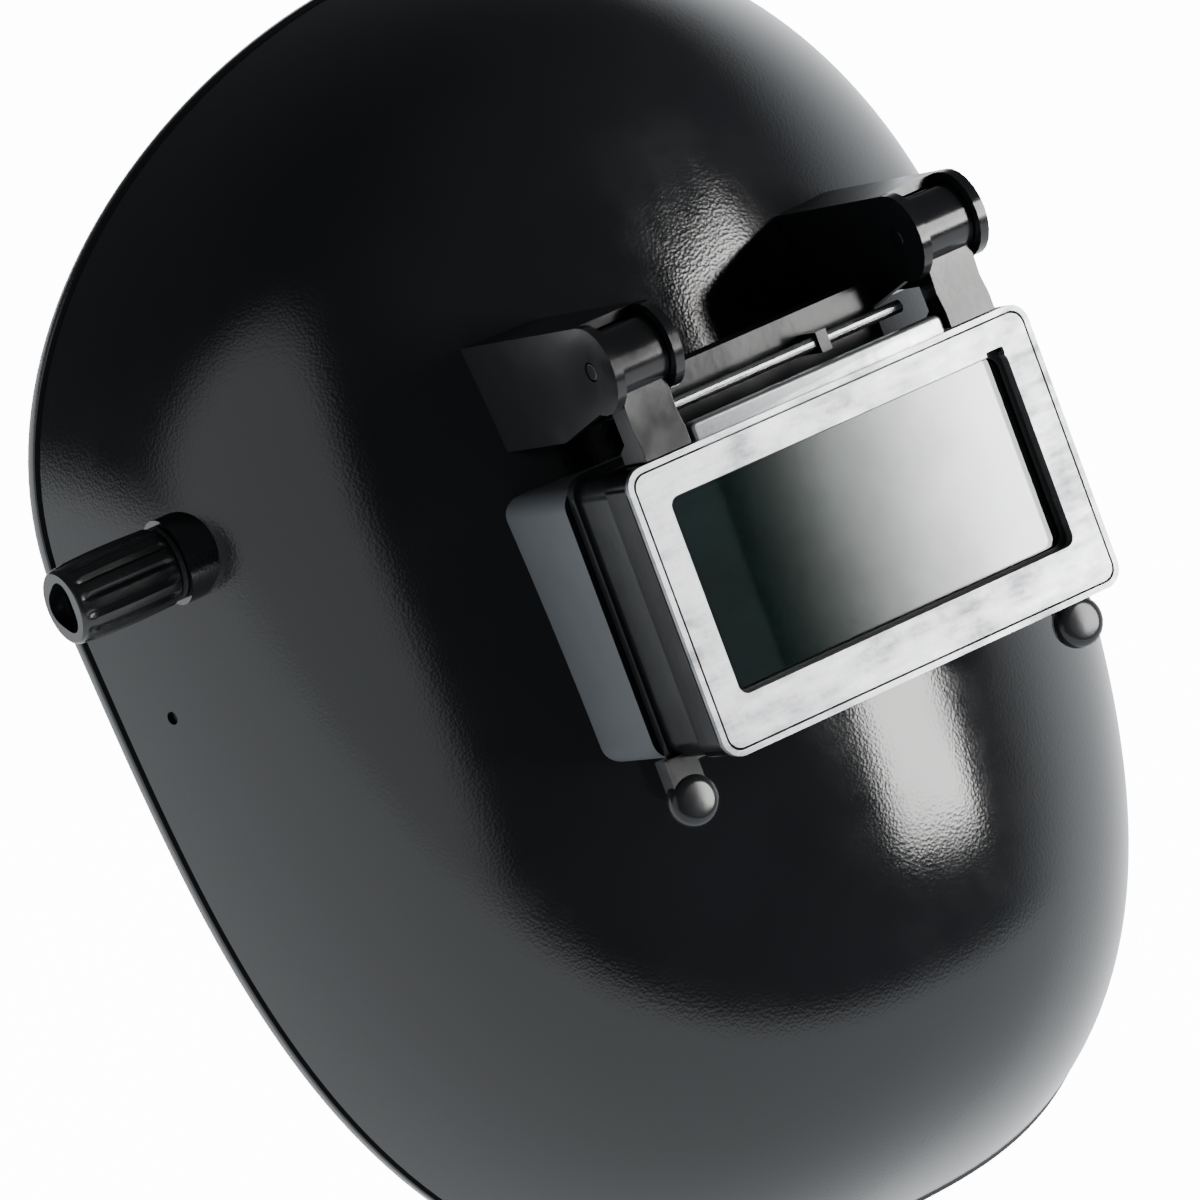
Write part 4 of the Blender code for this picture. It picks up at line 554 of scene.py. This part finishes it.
# ---- lens cover ----------------------------------------------------------------------------
def build_cover():
    """The lift-up front: a dark body under a bright bezel, with a bright plate let into it."""
    low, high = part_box("cover_frame")
    glass_low, glass_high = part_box("cover_glass")
    middle = (glass_low.z + glass_high.z) / 2
    width, height = COVER_SIZE
    body_top = WINDOW_Z + height / 2
    outline = rounded_outline(width, height, COVER_CORNER, (0, WINDOW_Z))
    inset = rounded_outline(width - 2 * COVER_LIP, height - 2 * COVER_LIP, COVER_CORNER - COVER_LIP,
                            (0, WINDOW_Z))
    body = slab("cover_body", outline, low.y + 1.3 * MM, high.y)
    pocket = slab("pocket", rounded_outline(*LENS_POCKET, 2 * MM, (0, middle)),
                  low.y + 3.2 * MM, high.y + 10 * MM)
    opening = slab("opening", rounded_outline(101 * MM, 51.5 * MM, 3.2 * MM, (0, middle)),
                   low.y - 5 * MM, low.y + 6 * MM)
    recess = slab("recess", inset, low.y - 5 * MM, low.y + 1.7 * MM)
    combine(body, [pocket, opening, recess], "DIFFERENCE")
    smooth(body)
    soften(body, 0.5 * MM, 3)
    stands_for(body, "cover_frame")

    bezel = slab("cover_bezel", outline, low.y, low.y + 2.1 * MM)
    rail_end = 36.9 * MM
    rail = slab("rail", rounded_outline(2 * rail_end, 7 * MM, 1.6 * MM, (0, body_top + 1.1 * MM)),
                low.y + 0.9 * MM, low.y + 5.6 * MM)
    soften(rail, 0.9 * MM, 3)
    settle(rail)
    combine(bezel, [slab("inside", inset, low.y - 5 * MM, low.y + 5 * MM)], "DIFFERENCE")
    combine(bezel, [rail], "UNION")
    smooth(bezel)
    soften(bezel, 0.55 * MM, 3)
    paint(bezel, "cover_silver")
    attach(bezel, body_of("cover_frame"))

    plate = slab("face_plate", rounded_outline(*PLATE_SIZE, 3.4 * MM, (0, WINDOW_Z)),
                 low.y, low.y + 1.2 * MM)
    sight = slab("sight", rounded_outline(*PLATE_VIEW, 2.6 * MM, (0, middle)),
                 low.y - 5 * MM, low.y + 5 * MM)
    notch = slab("notch", rounded_outline(5 * MM, 2.2 * MM, 0.5 * MM, (47 * MM, middle + 25 * MM), 3),
                 low.y - 5 * MM, low.y + 5 * MM)
    combine(plate, [slab("collar", rounded_outline(100.8 * MM, 51.3 * MM, 3.1 * MM, (0, middle)),
                         low.y + 0.2 * MM, low.y + 3 * MM)], "UNION")
    combine(plate, [sight, notch], "DIFFERENCE")
    smooth(plate)
    soften(plate, 0.4 * MM, 3)
    stands_for(plate, "cover_face_plate")


# ---- side knobs and the adjuster's knob ------------------------------------------------------
def fluted(name, axis_start, direction, length, radius, flute, flutes, stations, per_flute=8):
    """A knob round an axis, its radius following the flutes."""
    direction = Vector(direction)
    side_a = direction.orthogonal().normalized()
    side_b = direction.cross(side_a)
    count = flutes * per_flute
    rings = []
    for share, swell, depth in stations:
        ring = []
        for n in range(count):
            angle = 2 * pi * n / count
            groove = flute * depth * max(0.0, cos(angle * flutes)) ** 1.5
            reach = radius * swell - groove
            ring.append(Vector(axis_start) + direction * (share * length)
                        + side_a * reach * cos(angle) + side_b * reach * sin(angle))
        rings.append(ring)
    ends = [Vector(axis_start) + direction * (share * length) for share in (stations[0][0], stations[-1][0])]
    return skin(name, rings, ends[0], ends[1])


def build_knob(side, end):
    low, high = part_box(f"tension_knob_{end}")
    start, stop = (low.x, high.x) if side > 0 else (high.x, low.x)
    length = abs(stop - start)
    radius = (high.z - low.z) / 2 + 0.1 * MM
    stations = [(0.0, 0.88, 0.0), (0.015, 0.93, 0.2), (0.05, 0.965, 0.7)]
    stations += [(0.05 + 0.8 * n / 12, 0.965 + 0.035 * sin(pi * n / 12 * 0.9) - 0.01 * n / 12, 1.0)
                 for n in range(1, 13)]
    stations += [(0.9, 0.945, 0.7), (0.94, 0.935, 0.2), (0.965, 0.925, 0.0), (0.985, 0.905, 0.0),
                 (1.0, 0.86, 0.0)]
    knob = fluted(f"tension_knob_{end}_moulding", (start, 0, 0), (side, 0, 0), length, radius, 0.95 * MM, 14,
                  stations)
    lobes = []
    for n in range(60):
        angle = 2 * pi * n / 60
        reach = 6.9 * MM * (0.91 + 0.09 * cos(3 * angle))
        lobes.append((reach * cos(angle), reach * sin(angle)))
    shape = bmesh.new()
    floor = stop - side * 11 * MM
    near = [shape.verts.new((floor, a, b)) for a, b in lobes]
    far = [shape.verts.new((stop + side * 0.02, a, b)) for a, b in lobes]
    shape.faces.new(near)
    shape.faces.new(far)
    for n in range(60):
        m = (n + 1) % 60
        shape.faces.new((near[n], near[m], far[m], far[n]))
    recess = from_bmesh("recess", shape)
    combine(knob, [recess, pipe("bore", 3.3 * MM, (side * 0.1, 0, 0), (side * 0.16, 0, 0), 32)], "DIFFERENCE")
    smooth(knob, 30)
    stands_for(knob, f"tension_knob_{end}")


def build_size_knob():
    low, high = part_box("adjuster_knob")
    centre = Vector(((low.x + high.x) / 2, low.y, (low.z + high.z) / 2))
    radius = (high.z - low.z) / 2
    stations = [(0.0, 0.9, 0.0), (0.03, 0.95, 0.4), (0.1, 0.985, 1.0), (0.3, 1.0, 1.0), (0.6, 0.99, 1.0),
                (0.78, 0.965, 1.0), (0.88, 0.93, 0.6), (0.95, 0.88, 0.2), (0.985, 0.82, 0.0),
                (1.0, 0.74, 0.0)]
    knob = fluted("adjuster_knob_moulding", centre, (0, 1, 0), high.y - low.y, radius, 1.5 * MM, 18,
                  stations, 6)
    socket = pipe("socket", 4.3 * MM, (centre.x, low.y - 0.01, centre.z),
                  (centre.x, low.y + 4.3 * MM, centre.z))
    dish = pipe("dish", 8.5 * MM, (centre.x, high.y - 0.8 * MM, centre.z),
                (centre.x, high.y + 0.01, centre.z), 64)
    combine(knob, [socket, dish], "DIFFERENCE")
    smooth(knob, 30)
    stands_for(knob, "adjuster_knob")


# ---- harness -------------------------------------------------------------------------------
HEAD_HALF_WIDTH = 78 * MM
HEAD_HALF_LENGTH = 90 * MM
HEAD_CENTRE_Y = 43 * MM
HEAD_POWER = 2.3
BAND_FRONT_Z = 14 * MM
BAND_SLOPE = -0.244
BAND_THICKNESS = 1.8 * MM
BAND_END_X = 28 * MM
CROWN_Y = 40 * MM
CROWN_TOP_Z = 72 * MM


def band_point(angle, offset=0.0):
    """Point (x, y) of the headband's inner face; 0 is the front and pi the nape."""
    x = HEAD_HALF_WIDTH * signed_power(sin(angle), 2 / HEAD_POWER)
    y = HEAD_CENTRE_Y - HEAD_HALF_LENGTH * signed_power(cos(angle), 2 / HEAD_POWER)
    if not offset:
        return Vector((x, y))
    along = band_point(angle + 0.001) - band_point(angle - 0.001)
    return Vector((x, y)) + Vector((along.y, -along.x)).normalized() * offset


def band_z(y):
    return BAND_FRONT_Z + BAND_SLOPE * (y - HEAD_CENTRE_Y + HEAD_HALF_LENGTH)


def band_angle(half_width, rear=False):
    low, high = (pi / 2, pi) if rear else (0.0, pi / 2)
    for _ in range(50):
        middle = (low + high) / 2
        if (band_point(middle).x > half_width) == rear:
            low = middle
        else:
            high = middle
    return low


def even_angles(start, end, count):
    """Angles with even steps along the band."""
    dense = [start + (end - start) * n / 1200 for n in range(1201)]
    travelled = [0.0]
    for a, b in zip(dense, dense[1:]):
        travelled.append(travelled[-1] + (band_point(b) - band_point(a)).length)
    angles, at = [], 0
    for step in range(count + 1):
        wanted = travelled[-1] * step / count
        while at < 1199 and travelled[at + 1] < wanted:
            at += 1
        share = (wanted - travelled[at]) / (travelled[at + 1] - travelled[at])
        angles.append(dense[at] + (dense[at + 1] - dense[at]) * share)
    return angles


def strap(name, sections):
    """A strap from closed four-cornered sections."""
    shape = bmesh.new()
    rows = [[shape.verts.new(point) for point in section] for section in sections]
    for before, after in zip(rows, rows[1:]):
        for n in range(4):
            m = (n + 1) % 4
            shape.faces.new((before[n], before[m], after[m], after[n]))
    shape.faces.new(rows[0])
    shape.faces.new(rows[-1])
    return from_bmesh(name, shape)


def build_headband():
    last = band_angle(BAND_END_X, rear=True)
    sections = []
    steps = 150
    for angle in even_angles(-last, last, steps):
        share = abs(angle) / last
        wide = min(1.0, max(0.0, (1 - share * 2.2)) * 2)
        half = (20 + 12 * wide * wide * (3 - 2 * wide)) * MM / 2
        inner = band_point(angle)
        outer = band_point(angle, BAND_THICKNESS)
        z = band_z(inner.y)
        sections.append([(*inner, z - half), (*inner, z + half), (*outer, z + half), (*outer, z - half)])
    band = strap("headband_moulding", sections)
    smooth(band, 40)
    soften(band, 0.45 * MM, 2, 50)
    stands_for(band, "headband")

    ridges = bmesh.new()
    for angle in even_angles(band_angle(60 * MM), band_angle(46 * MM, rear=True), 26)[1:-1]:
        for turn in (1, -1):
            if abs(band_point(angle).y - 73 * MM) < 17 * MM or abs(band_point(angle).y - CROWN_Y) < 13 * MM:
                continue
            point = band_point(turn * angle, BAND_THICKNESS + 0.15 * MM)
            along = band_point(turn * angle + 0.01) - band_point(turn * angle - 0.01)
            heading = Matrix.Rotation(-Vector((1, 0)).angle_signed(Vector((along.x, along.y))), 4, "Z")
            size = Matrix.Diagonal((1.6 * MM, 0.5 * MM, 11 * MM, 1))
            place = Matrix.Translation((point.x, point.y, band_z(point.y))) @ heading @ size
            bmesh.ops.create_cube(ridges, size=1, matrix=place)
    ribs = from_bmesh("headband_ribs", ridges)
    smooth(ribs)
    soften(ribs, 0.16 * MM, 2)
    paint(ribs, "harness_black")
    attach(ribs, body_of("headband"))


def build_crown_strap(side, end):
    low = band_z(CROWN_Y)
    thickness = 1.5 * MM
    half_width = HEAD_HALF_WIDTH + BAND_THICKNESS + 0.6 * MM
    rise = CROWN_TOP_Z - low
    top = pi / 2 + 0.2
    steps = 70

    def middle(angle):
        x = half_width * signed_power(cos(angle), 2 / 2.2)
        z = low + rise * signed_power(sin(angle), 2 / 2.2)
        lift = 0.0
        if side < 0:
            share = min(1.0, max(0.0, (angle - 1.0) / 0.25))
            lift = (thickness + 0.3 * MM) * share * share * (3 - 2 * share)
        return Vector((x, z + lift))

    centre = Vector((0.0, low))
    path = [middle(0.0) - Vector((0, 9 * MM))] + [middle(top * n / steps) for n in range(steps + 1)]
    sections = []
    for n, point in enumerate(path):
        before, after = path[max(0, n - 1)], path[min(len(path) - 1, n + 1)]
        along = (after - before).normalized()
        out = Vector((along.y, -along.x))
        if out.dot(point - centre) < 0:
            out = -out
        outer = point + out * thickness
        half = 9 * MM
        taper = max(0.0, 1 - n / 4) * 2 * MM
        corners = [(point, -half + taper), (point, half - taper),
                   (outer, half - taper), (outer, -half + taper)]
        sections.append([(side * p.x, CROWN_Y + dy, p.y) for p, dy in corners])
    piece = strap(f"crown_strap_{end}_moulding", sections)
    holes = [pipe(f"peg_hole_{n}", 2.3 * MM, (n * 9 * MM, CROWN_Y, CROWN_TOP_Z - 0.02),
                  (n * 9 * MM, CROWN_Y, CROWN_TOP_Z + 0.02), 24) for n in (-1, 0, 1)]
    combine(piece, holes, "DIFFERENCE")
    smooth(piece, 40)
    soften(piece, 0.35 * MM, 2, 50)
    stands_for(piece, f"crown_strap_{end}")


# ---- soft pads -----------------------------------------------------------------------------
def pad_shape(name, start, end, thickness, height, steps, slack):
    """Closed block along the band with its corners drawn in, a little smaller than the CAD pad."""
    sections = []
    angles = even_angles(start, end, steps)
    for n, angle in enumerate(angles):
        share = abs(2 * n / steps - 1)
        close = 1 - 0.35 * share ** 10
        outer = band_point(angle, -0.5 * MM)
        inner = band_point(angle, -thickness + slack)
        half = (height / 2 - slack) * close
        z = band_z(outer.y)
        sections.append([(*outer, z - half), (*outer, z + half),
                         (*inner, z + half * 0.86), (*inner, z - half * 0.86)])
    return strap(name, sections)


def voxel_remesh(piece, size):
    remesh = piece.modifiers.new("Remesh", "REMESH")
    remesh.mode = "VOXEL"
    remesh.voxel_size = size
    remesh.use_smooth_shade = True
    return settle(piece)


def inflate(piece, pressure, cap):
    """Cloth simulation with inner pressure; no point moves further than the cap."""
    start = [vertex.co.copy() for vertex in piece.data.vertices]
    cloth = piece.modifiers.new("Cloth", "CLOTH")
    cloth.settings.quality = 6
    cloth.settings.mass = 0.15
    cloth.settings.tension_stiffness = 12
    cloth.settings.compression_stiffness = 12
    cloth.settings.bending_stiffness = 0.4
    cloth.settings.use_pressure = True
    cloth.settings.uniform_pressure_force = pressure
    cloth.settings.effector_weights.gravity = 0.0
    scene = bpy.context.scene
    scene.frame_start, scene.frame_end = 1, 20
    for number in range(1, 21):
        scene.frame_set(number)
    graph = bpy.context.evaluated_depsgraph_get()
    mesh = bpy.data.meshes.new_from_object(piece.evaluated_get(graph))
    piece.modifiers.clear()
    piece.data = mesh
    for vertex, before in zip(mesh.vertices, start):
        move = vertex.co - before
        if move.length > cap:
            vertex.co = before + move.normalized() * cap
    scene.frame_set(1)
    return piece


def hold_inside(piece, thickness, height, margin):
    """Keeps the pad off the headband and within its own height and thickness."""
    for vertex in piece.data.vertices:
        x, y, z = vertex.co
        low, high = -pi, pi
        best = min((low + (high - low) * n / 720 for n in range(721)),
                   key=lambda angle: (band_point(angle) - Vector((x, y))).length_squared)
        edge = band_point(best)
        along = band_point(best + 0.001) - band_point(best - 0.001)
        outwards = Vector((along.y, -along.x)).normalized()
        depth = (Vector((x, y)) - edge).dot(outwards)
        wanted = min(-0.4 * MM, max(-thickness - margin, depth))
        vertex.co.x += outwards.x * (wanted - depth)
        vertex.co.y += outwards.y * (wanted - depth)
        middle = band_z(y)
        limit = height / 2 + margin
        vertex.co.z = min(middle + limit, max(middle - limit, z))
    return piece


def quilt(piece, rows, depth):
    """Sewn channels: the inner face sinks along lines that cross the pad."""
    for vertex in piece.data.vertices:
        x, y, _ = vertex.co
        inward = Vector((-x, HEAD_CENTRE_Y - y, 0)).normalized()
        if vertex.normal.dot(inward) < 0.3:
            continue
        sink = 0.0
        for line in rows:
            sink = max(sink, 1 - min(1.0, abs(x - line) / (3.2 * MM)))
        vertex.co -= inward * depth * sink * sink
    return piece


def build_pads():
    for node, half_width, thickness, rear, rows in (
            ("sweatband", 62 * MM, 5 * MM, False, (-42 * MM, -21 * MM, 0.0, 21 * MM, 42 * MM)),
            ("nape_pad", 40 * MM, 8 * MM, True, (-20 * MM, 0.0, 20 * MM))):
        if rear:
            first = band_angle(half_width, rear=True)
            start, end = first, 2 * pi - first
        else:
            last = band_angle(half_width)
            start, end = -last, last
        pad = pad_shape(node + "_cloth", start, end, thickness, 30 * MM, 60, 0.9 * MM)
        voxel_remesh(pad, (1.8 if rear else 1.5) * MM)
        inflate(pad, 4.0, 1.4 * MM)
        quilt(pad, rows, 1.3 * MM)
        hold_inside(pad, thickness, 30 * MM, 0.6 * MM)
        smoothing = pad.modifiers.new("Smooth", "CORRECTIVE_SMOOTH")
        smoothing.iterations = 2
        smoothing.use_only_smooth = True
        settle(pad)
        rounder = pad.modifiers.new("Subdivision", "SUBSURF")
        rounder.levels = rounder.render_levels = 1
        settle(pad)
        pad.data.shade_smooth()
        stands_for(pad, node)


# ---- build ---------------------------------------------------------------------------------
build_shell()
build_cover()
build_knob(-1, "right")
for side, end in SIDES:
    build_crown_strap(side, end)
build_size_knob()
build_headband()
build_pads()
finished("window_base_frame", 0.7 * MM, 3)
for _, end in SIDES:
    finished(f"hinge_bracket_{end}", 0.55 * MM, 3)
    finished(f"cover_arm_{end}", 0.7 * MM, 3)
    finished(f"side_arm_{end}", 0.4 * MM, 2)
    finished(f"size_rack_{end}", 0.2 * MM, 2)
    finished(f"hinge_pin_{end}", 0.4 * MM, 2)
finished("knob_nut_right", 0.35 * MM, 2)
finished("pivot_cap_nut_left", 0.3 * MM, 2)
finished("adjuster_back_plate", 0.5 * MM, 2)
finished("adjuster_cover", 0.7 * MM, 3)
for name, node in nodes_by_name.items():
    if not node.hide_render:
        paint(node, SLOT_OF[name], FINISH_OF.get(name))

# ---- stage ---------------------------------------------------------------------------------
CAMERA_RIGHT = Vector((0.8132, -0.4666, -0.3479))
CAMERA_UP = Vector((0.3650, -0.0568, 0.9293))
CAMERA_BACK = Vector((-0.4534, -0.8826, 0.1241))
FACE = Vector((0, -123 * MM, WINDOW_Z))
DOME_RADIUS = 40.0


def emitter(name, strength, colour=(1, 1, 1)):
    made = bpy.data.materials.new(name)
    made.use_nodes = True
    tree = made.node_tree
    tree.nodes.clear()
    glow = tree.nodes.new("ShaderNodeEmission")
    glow.inputs["Color"].default_value = (*colour, 1)
    glow.inputs["Strength"].default_value = strength
    out = tree.nodes.new("ShaderNodeOutputMaterial")
    tree.links.new(glow.outputs["Emission"], out.inputs["Surface"])
    return made, tree, glow


def build_world():
    """Dark in front like a studio behind the camera, light from below, the left and behind."""
    world = bpy.data.worlds.new("studio")
    bpy.context.scene.world = world
    world.use_nodes = True
    tree = world.node_tree
    back = tree.nodes["Background"]
    place = tree.nodes.new("ShaderNodeTexCoord")

    def zone(direction, start, end, level):
        dot = tree.nodes.new("ShaderNodeVectorMath")
        dot.operation = "DOT_PRODUCT"
        dot.inputs[1].default_value = direction
        tree.links.new(place.outputs["Generated"], dot.inputs[0])
        edge = tree.nodes.new("ShaderNodeMapRange")
        edge.interpolation_type = "SMOOTHSTEP"
        edge.inputs["From Min"].default_value = start
        edge.inputs["From Max"].default_value = end
        edge.inputs["To Max"].default_value = level
        tree.links.new(dot.outputs["Value"], edge.inputs["Value"])
        return edge.outputs["Result"]

    below = -0.87 * CAMERA_UP - 0.49 * CAMERA_BACK
    left = (-0.80 * CAMERA_RIGHT - 0.25 * CAMERA_UP + 0.55 * CAMERA_BACK).normalized()
    behind = (0.55 * CAMERA_RIGHT - 0.05 * CAMERA_UP - 0.84 * CAMERA_BACK).normalized()
    total = None
    for zoned in (zone(below, 0.10, 0.24, 1.5), zone(left, 0.84, 0.93, 1.1), zone(behind, 0.45, 0.9, 1.7)):
        if total is None:
            total = zoned
            continue
        largest = tree.nodes.new("ShaderNodeMath")
        largest.operation = "MAXIMUM"
        tree.links.new(total, largest.inputs[0])
        tree.links.new(zoned, largest.inputs[1])
        total = largest.outputs["Value"]
    lift = tree.nodes.new("ShaderNodeMath")
    lift.inputs[1].default_value = 0.10
    tree.links.new(total, lift.inputs[0])
    tree.links.new(lift.outputs["Value"], back.inputs["Strength"])
    back.inputs["Color"].default_value = (0.93, 0.97, 1.0, 1)


def build_softbox():
    """The tall soft light whose reflection stands over and under the window."""
    distance = 1.3
    azimuth, elevation = radians(39.5), radians(-3)
    towards = Vector((sin(azimuth) * cos(elevation), -cos(azimuth) * cos(elevation), sin(elevation)))
    half_width = distance * tan(radians(12.5))
    half_height = distance * tan(radians(17))
    shape = bmesh.new()
    corners = [shape.verts.new((x, y, 0)) for x, y in ((-1, -1), (1, -1), (1, 1), (-1, 1))]
    shape.faces.new(corners)
    mesh = bpy.data.meshes.new("softbox")
    shape.to_mesh(mesh)
    shape.free()
    card = new_piece("softbox", mesh)
    turn = towards.to_track_quat("Z", "Y").to_matrix().to_4x4()
    card.matrix_world = (Matrix.Translation(FACE + towards * distance) @ turn
                         @ Matrix.Diagonal((half_width, half_height, 1, 1)))
    made, tree, glow = emitter("softbox_glow", 1.0, (1.0, 0.985, 0.97))
    place = tree.nodes.new("ShaderNodeTexCoord")
    axes = tree.nodes.new("ShaderNodeSeparateXYZ")
    tree.links.new(place.outputs["Object"], axes.inputs["Vector"])
    edge = tree.nodes.new("ShaderNodeMapRange")
    edge.inputs["From Min"].default_value = -1.05
    edge.inputs["From Max"].default_value = -0.59
    tree.links.new(axes.outputs["X"], edge.inputs["Value"])
    curve = tree.nodes.new("ShaderNodeMath")
    curve.operation = "POWER"
    curve.inputs[1].default_value = 3.5
    tree.links.new(edge.outputs["Result"], curve.inputs[0])
    level = tree.nodes.new("ShaderNodeMath")
    level.operation = "MULTIPLY"
    level.inputs[1].default_value = 28.0
    tree.links.new(curve.outputs["Value"], level.inputs[0])
    tree.links.new(level.outputs["Value"], glow.inputs["Strength"])
    mesh.materials.append(made)
    card.visible_camera = False
    card.visible_shadow = False


def area_light(name, energy, size, place, target):
    data = bpy.data.lights.new(name, "AREA")
    data.energy = energy
    data.size = size
    lamp = bpy.data.objects.new(name, data)
    bpy.context.scene.collection.objects.link(lamp)
    lamp.location = place
    lamp.rotation_mode = "QUATERNION"
    lamp.rotation_quaternion = (Vector(place) - Vector(target)).to_track_quat("Z", "Y")
    lamp.visible_camera = False
    lamp.visible_glossy = False


def build_floor():
    """Pale floor that curves up into a pale backdrop on every side."""
    low, _ = cad_box
    level = low.z - 1 * MM
    rings = []
    for n in range(60):
        radius = 0.05 + 18.0 * (n / 59) ** 1.4
        rise = 0.4 * max(0.0, radius - 12.0) ** 2
        rings.append([Vector((radius * cos(2 * pi * k / 96), radius * sin(2 * pi * k / 96), level + rise))
                      for k in range(96)])
    floor = skin("studio_floor", rings, Vector((0, 0, level)))
    floor.data.shade_smooth()
    made, tree, shader = new_material("studio_floor_paint")
    tree.links.new(ramp(tree, noise(tree, 3, 3.0), ((0.3, (0.86, 0.87, 0.88)), (0.7, (0.9, 0.9, 0.91)))),
                   shader.inputs["Base Color"])
    shader.inputs["Roughness"].default_value = 0.9
    shader.inputs["Emission Color"].default_value = (1, 1, 1, 1)
    shader.inputs["Emission Strength"].default_value = 14.0
    floor.data.materials.append(made)
    for ray in ("visible_glossy", "visible_diffuse", "visible_shadow", "visible_transmission"):
        setattr(floor, ray, False)

    dome_rings = []
    for n in range(1, 30):
        lean = pi * n / 30
        dome_rings.append([DOME_RADIUS * Vector((sin(lean) * cos(2 * pi * k / 60),
                                                 sin(lean) * sin(2 * pi * k / 60), cos(lean)))
                           for k in range(60)])
    dome = skin("studio_backdrop", dome_rings, Vector((0, 0, DOME_RADIUS)), Vector((0, 0, -DOME_RADIUS)))
    dome.data.materials.append(emitter("backdrop_glow", 30.0)[0])
    for ray in ("visible_glossy", "visible_diffuse", "visible_shadow", "visible_transmission"):
        setattr(dome, ray, False)


def build_camera():
    distance = 2262 * MM
    data = bpy.data.cameras.new("camera")
    data.lens = 285.2
    data.sensor_width = 36
    data.clip_start = 0.05
    data.clip_end = 120
    camera = bpy.data.objects.new("camera", data)
    bpy.context.scene.collection.objects.link(camera)
    turn = Matrix((CAMERA_RIGHT, CAMERA_UP, CAMERA_BACK)).transposed().to_4x4()
    place = FACE + CAMERA_BACK * distance - CAMERA_RIGHT * 65.9 * MM - CAMERA_UP * 16.94 * MM
    camera.matrix_world = Matrix.Translation(place) @ turn
    bpy.context.scene.camera = camera


build_world()
build_softbox()
area_light("top_fill", 3.0, 0.8, (0.3, 0.2, 1.4), (0, 0, -0.05))
area_light("back_fill", 7.0, 1.0, (-0.2, 1.4, 0.7), (0, 0, -0.05))
build_floor()
build_camera()
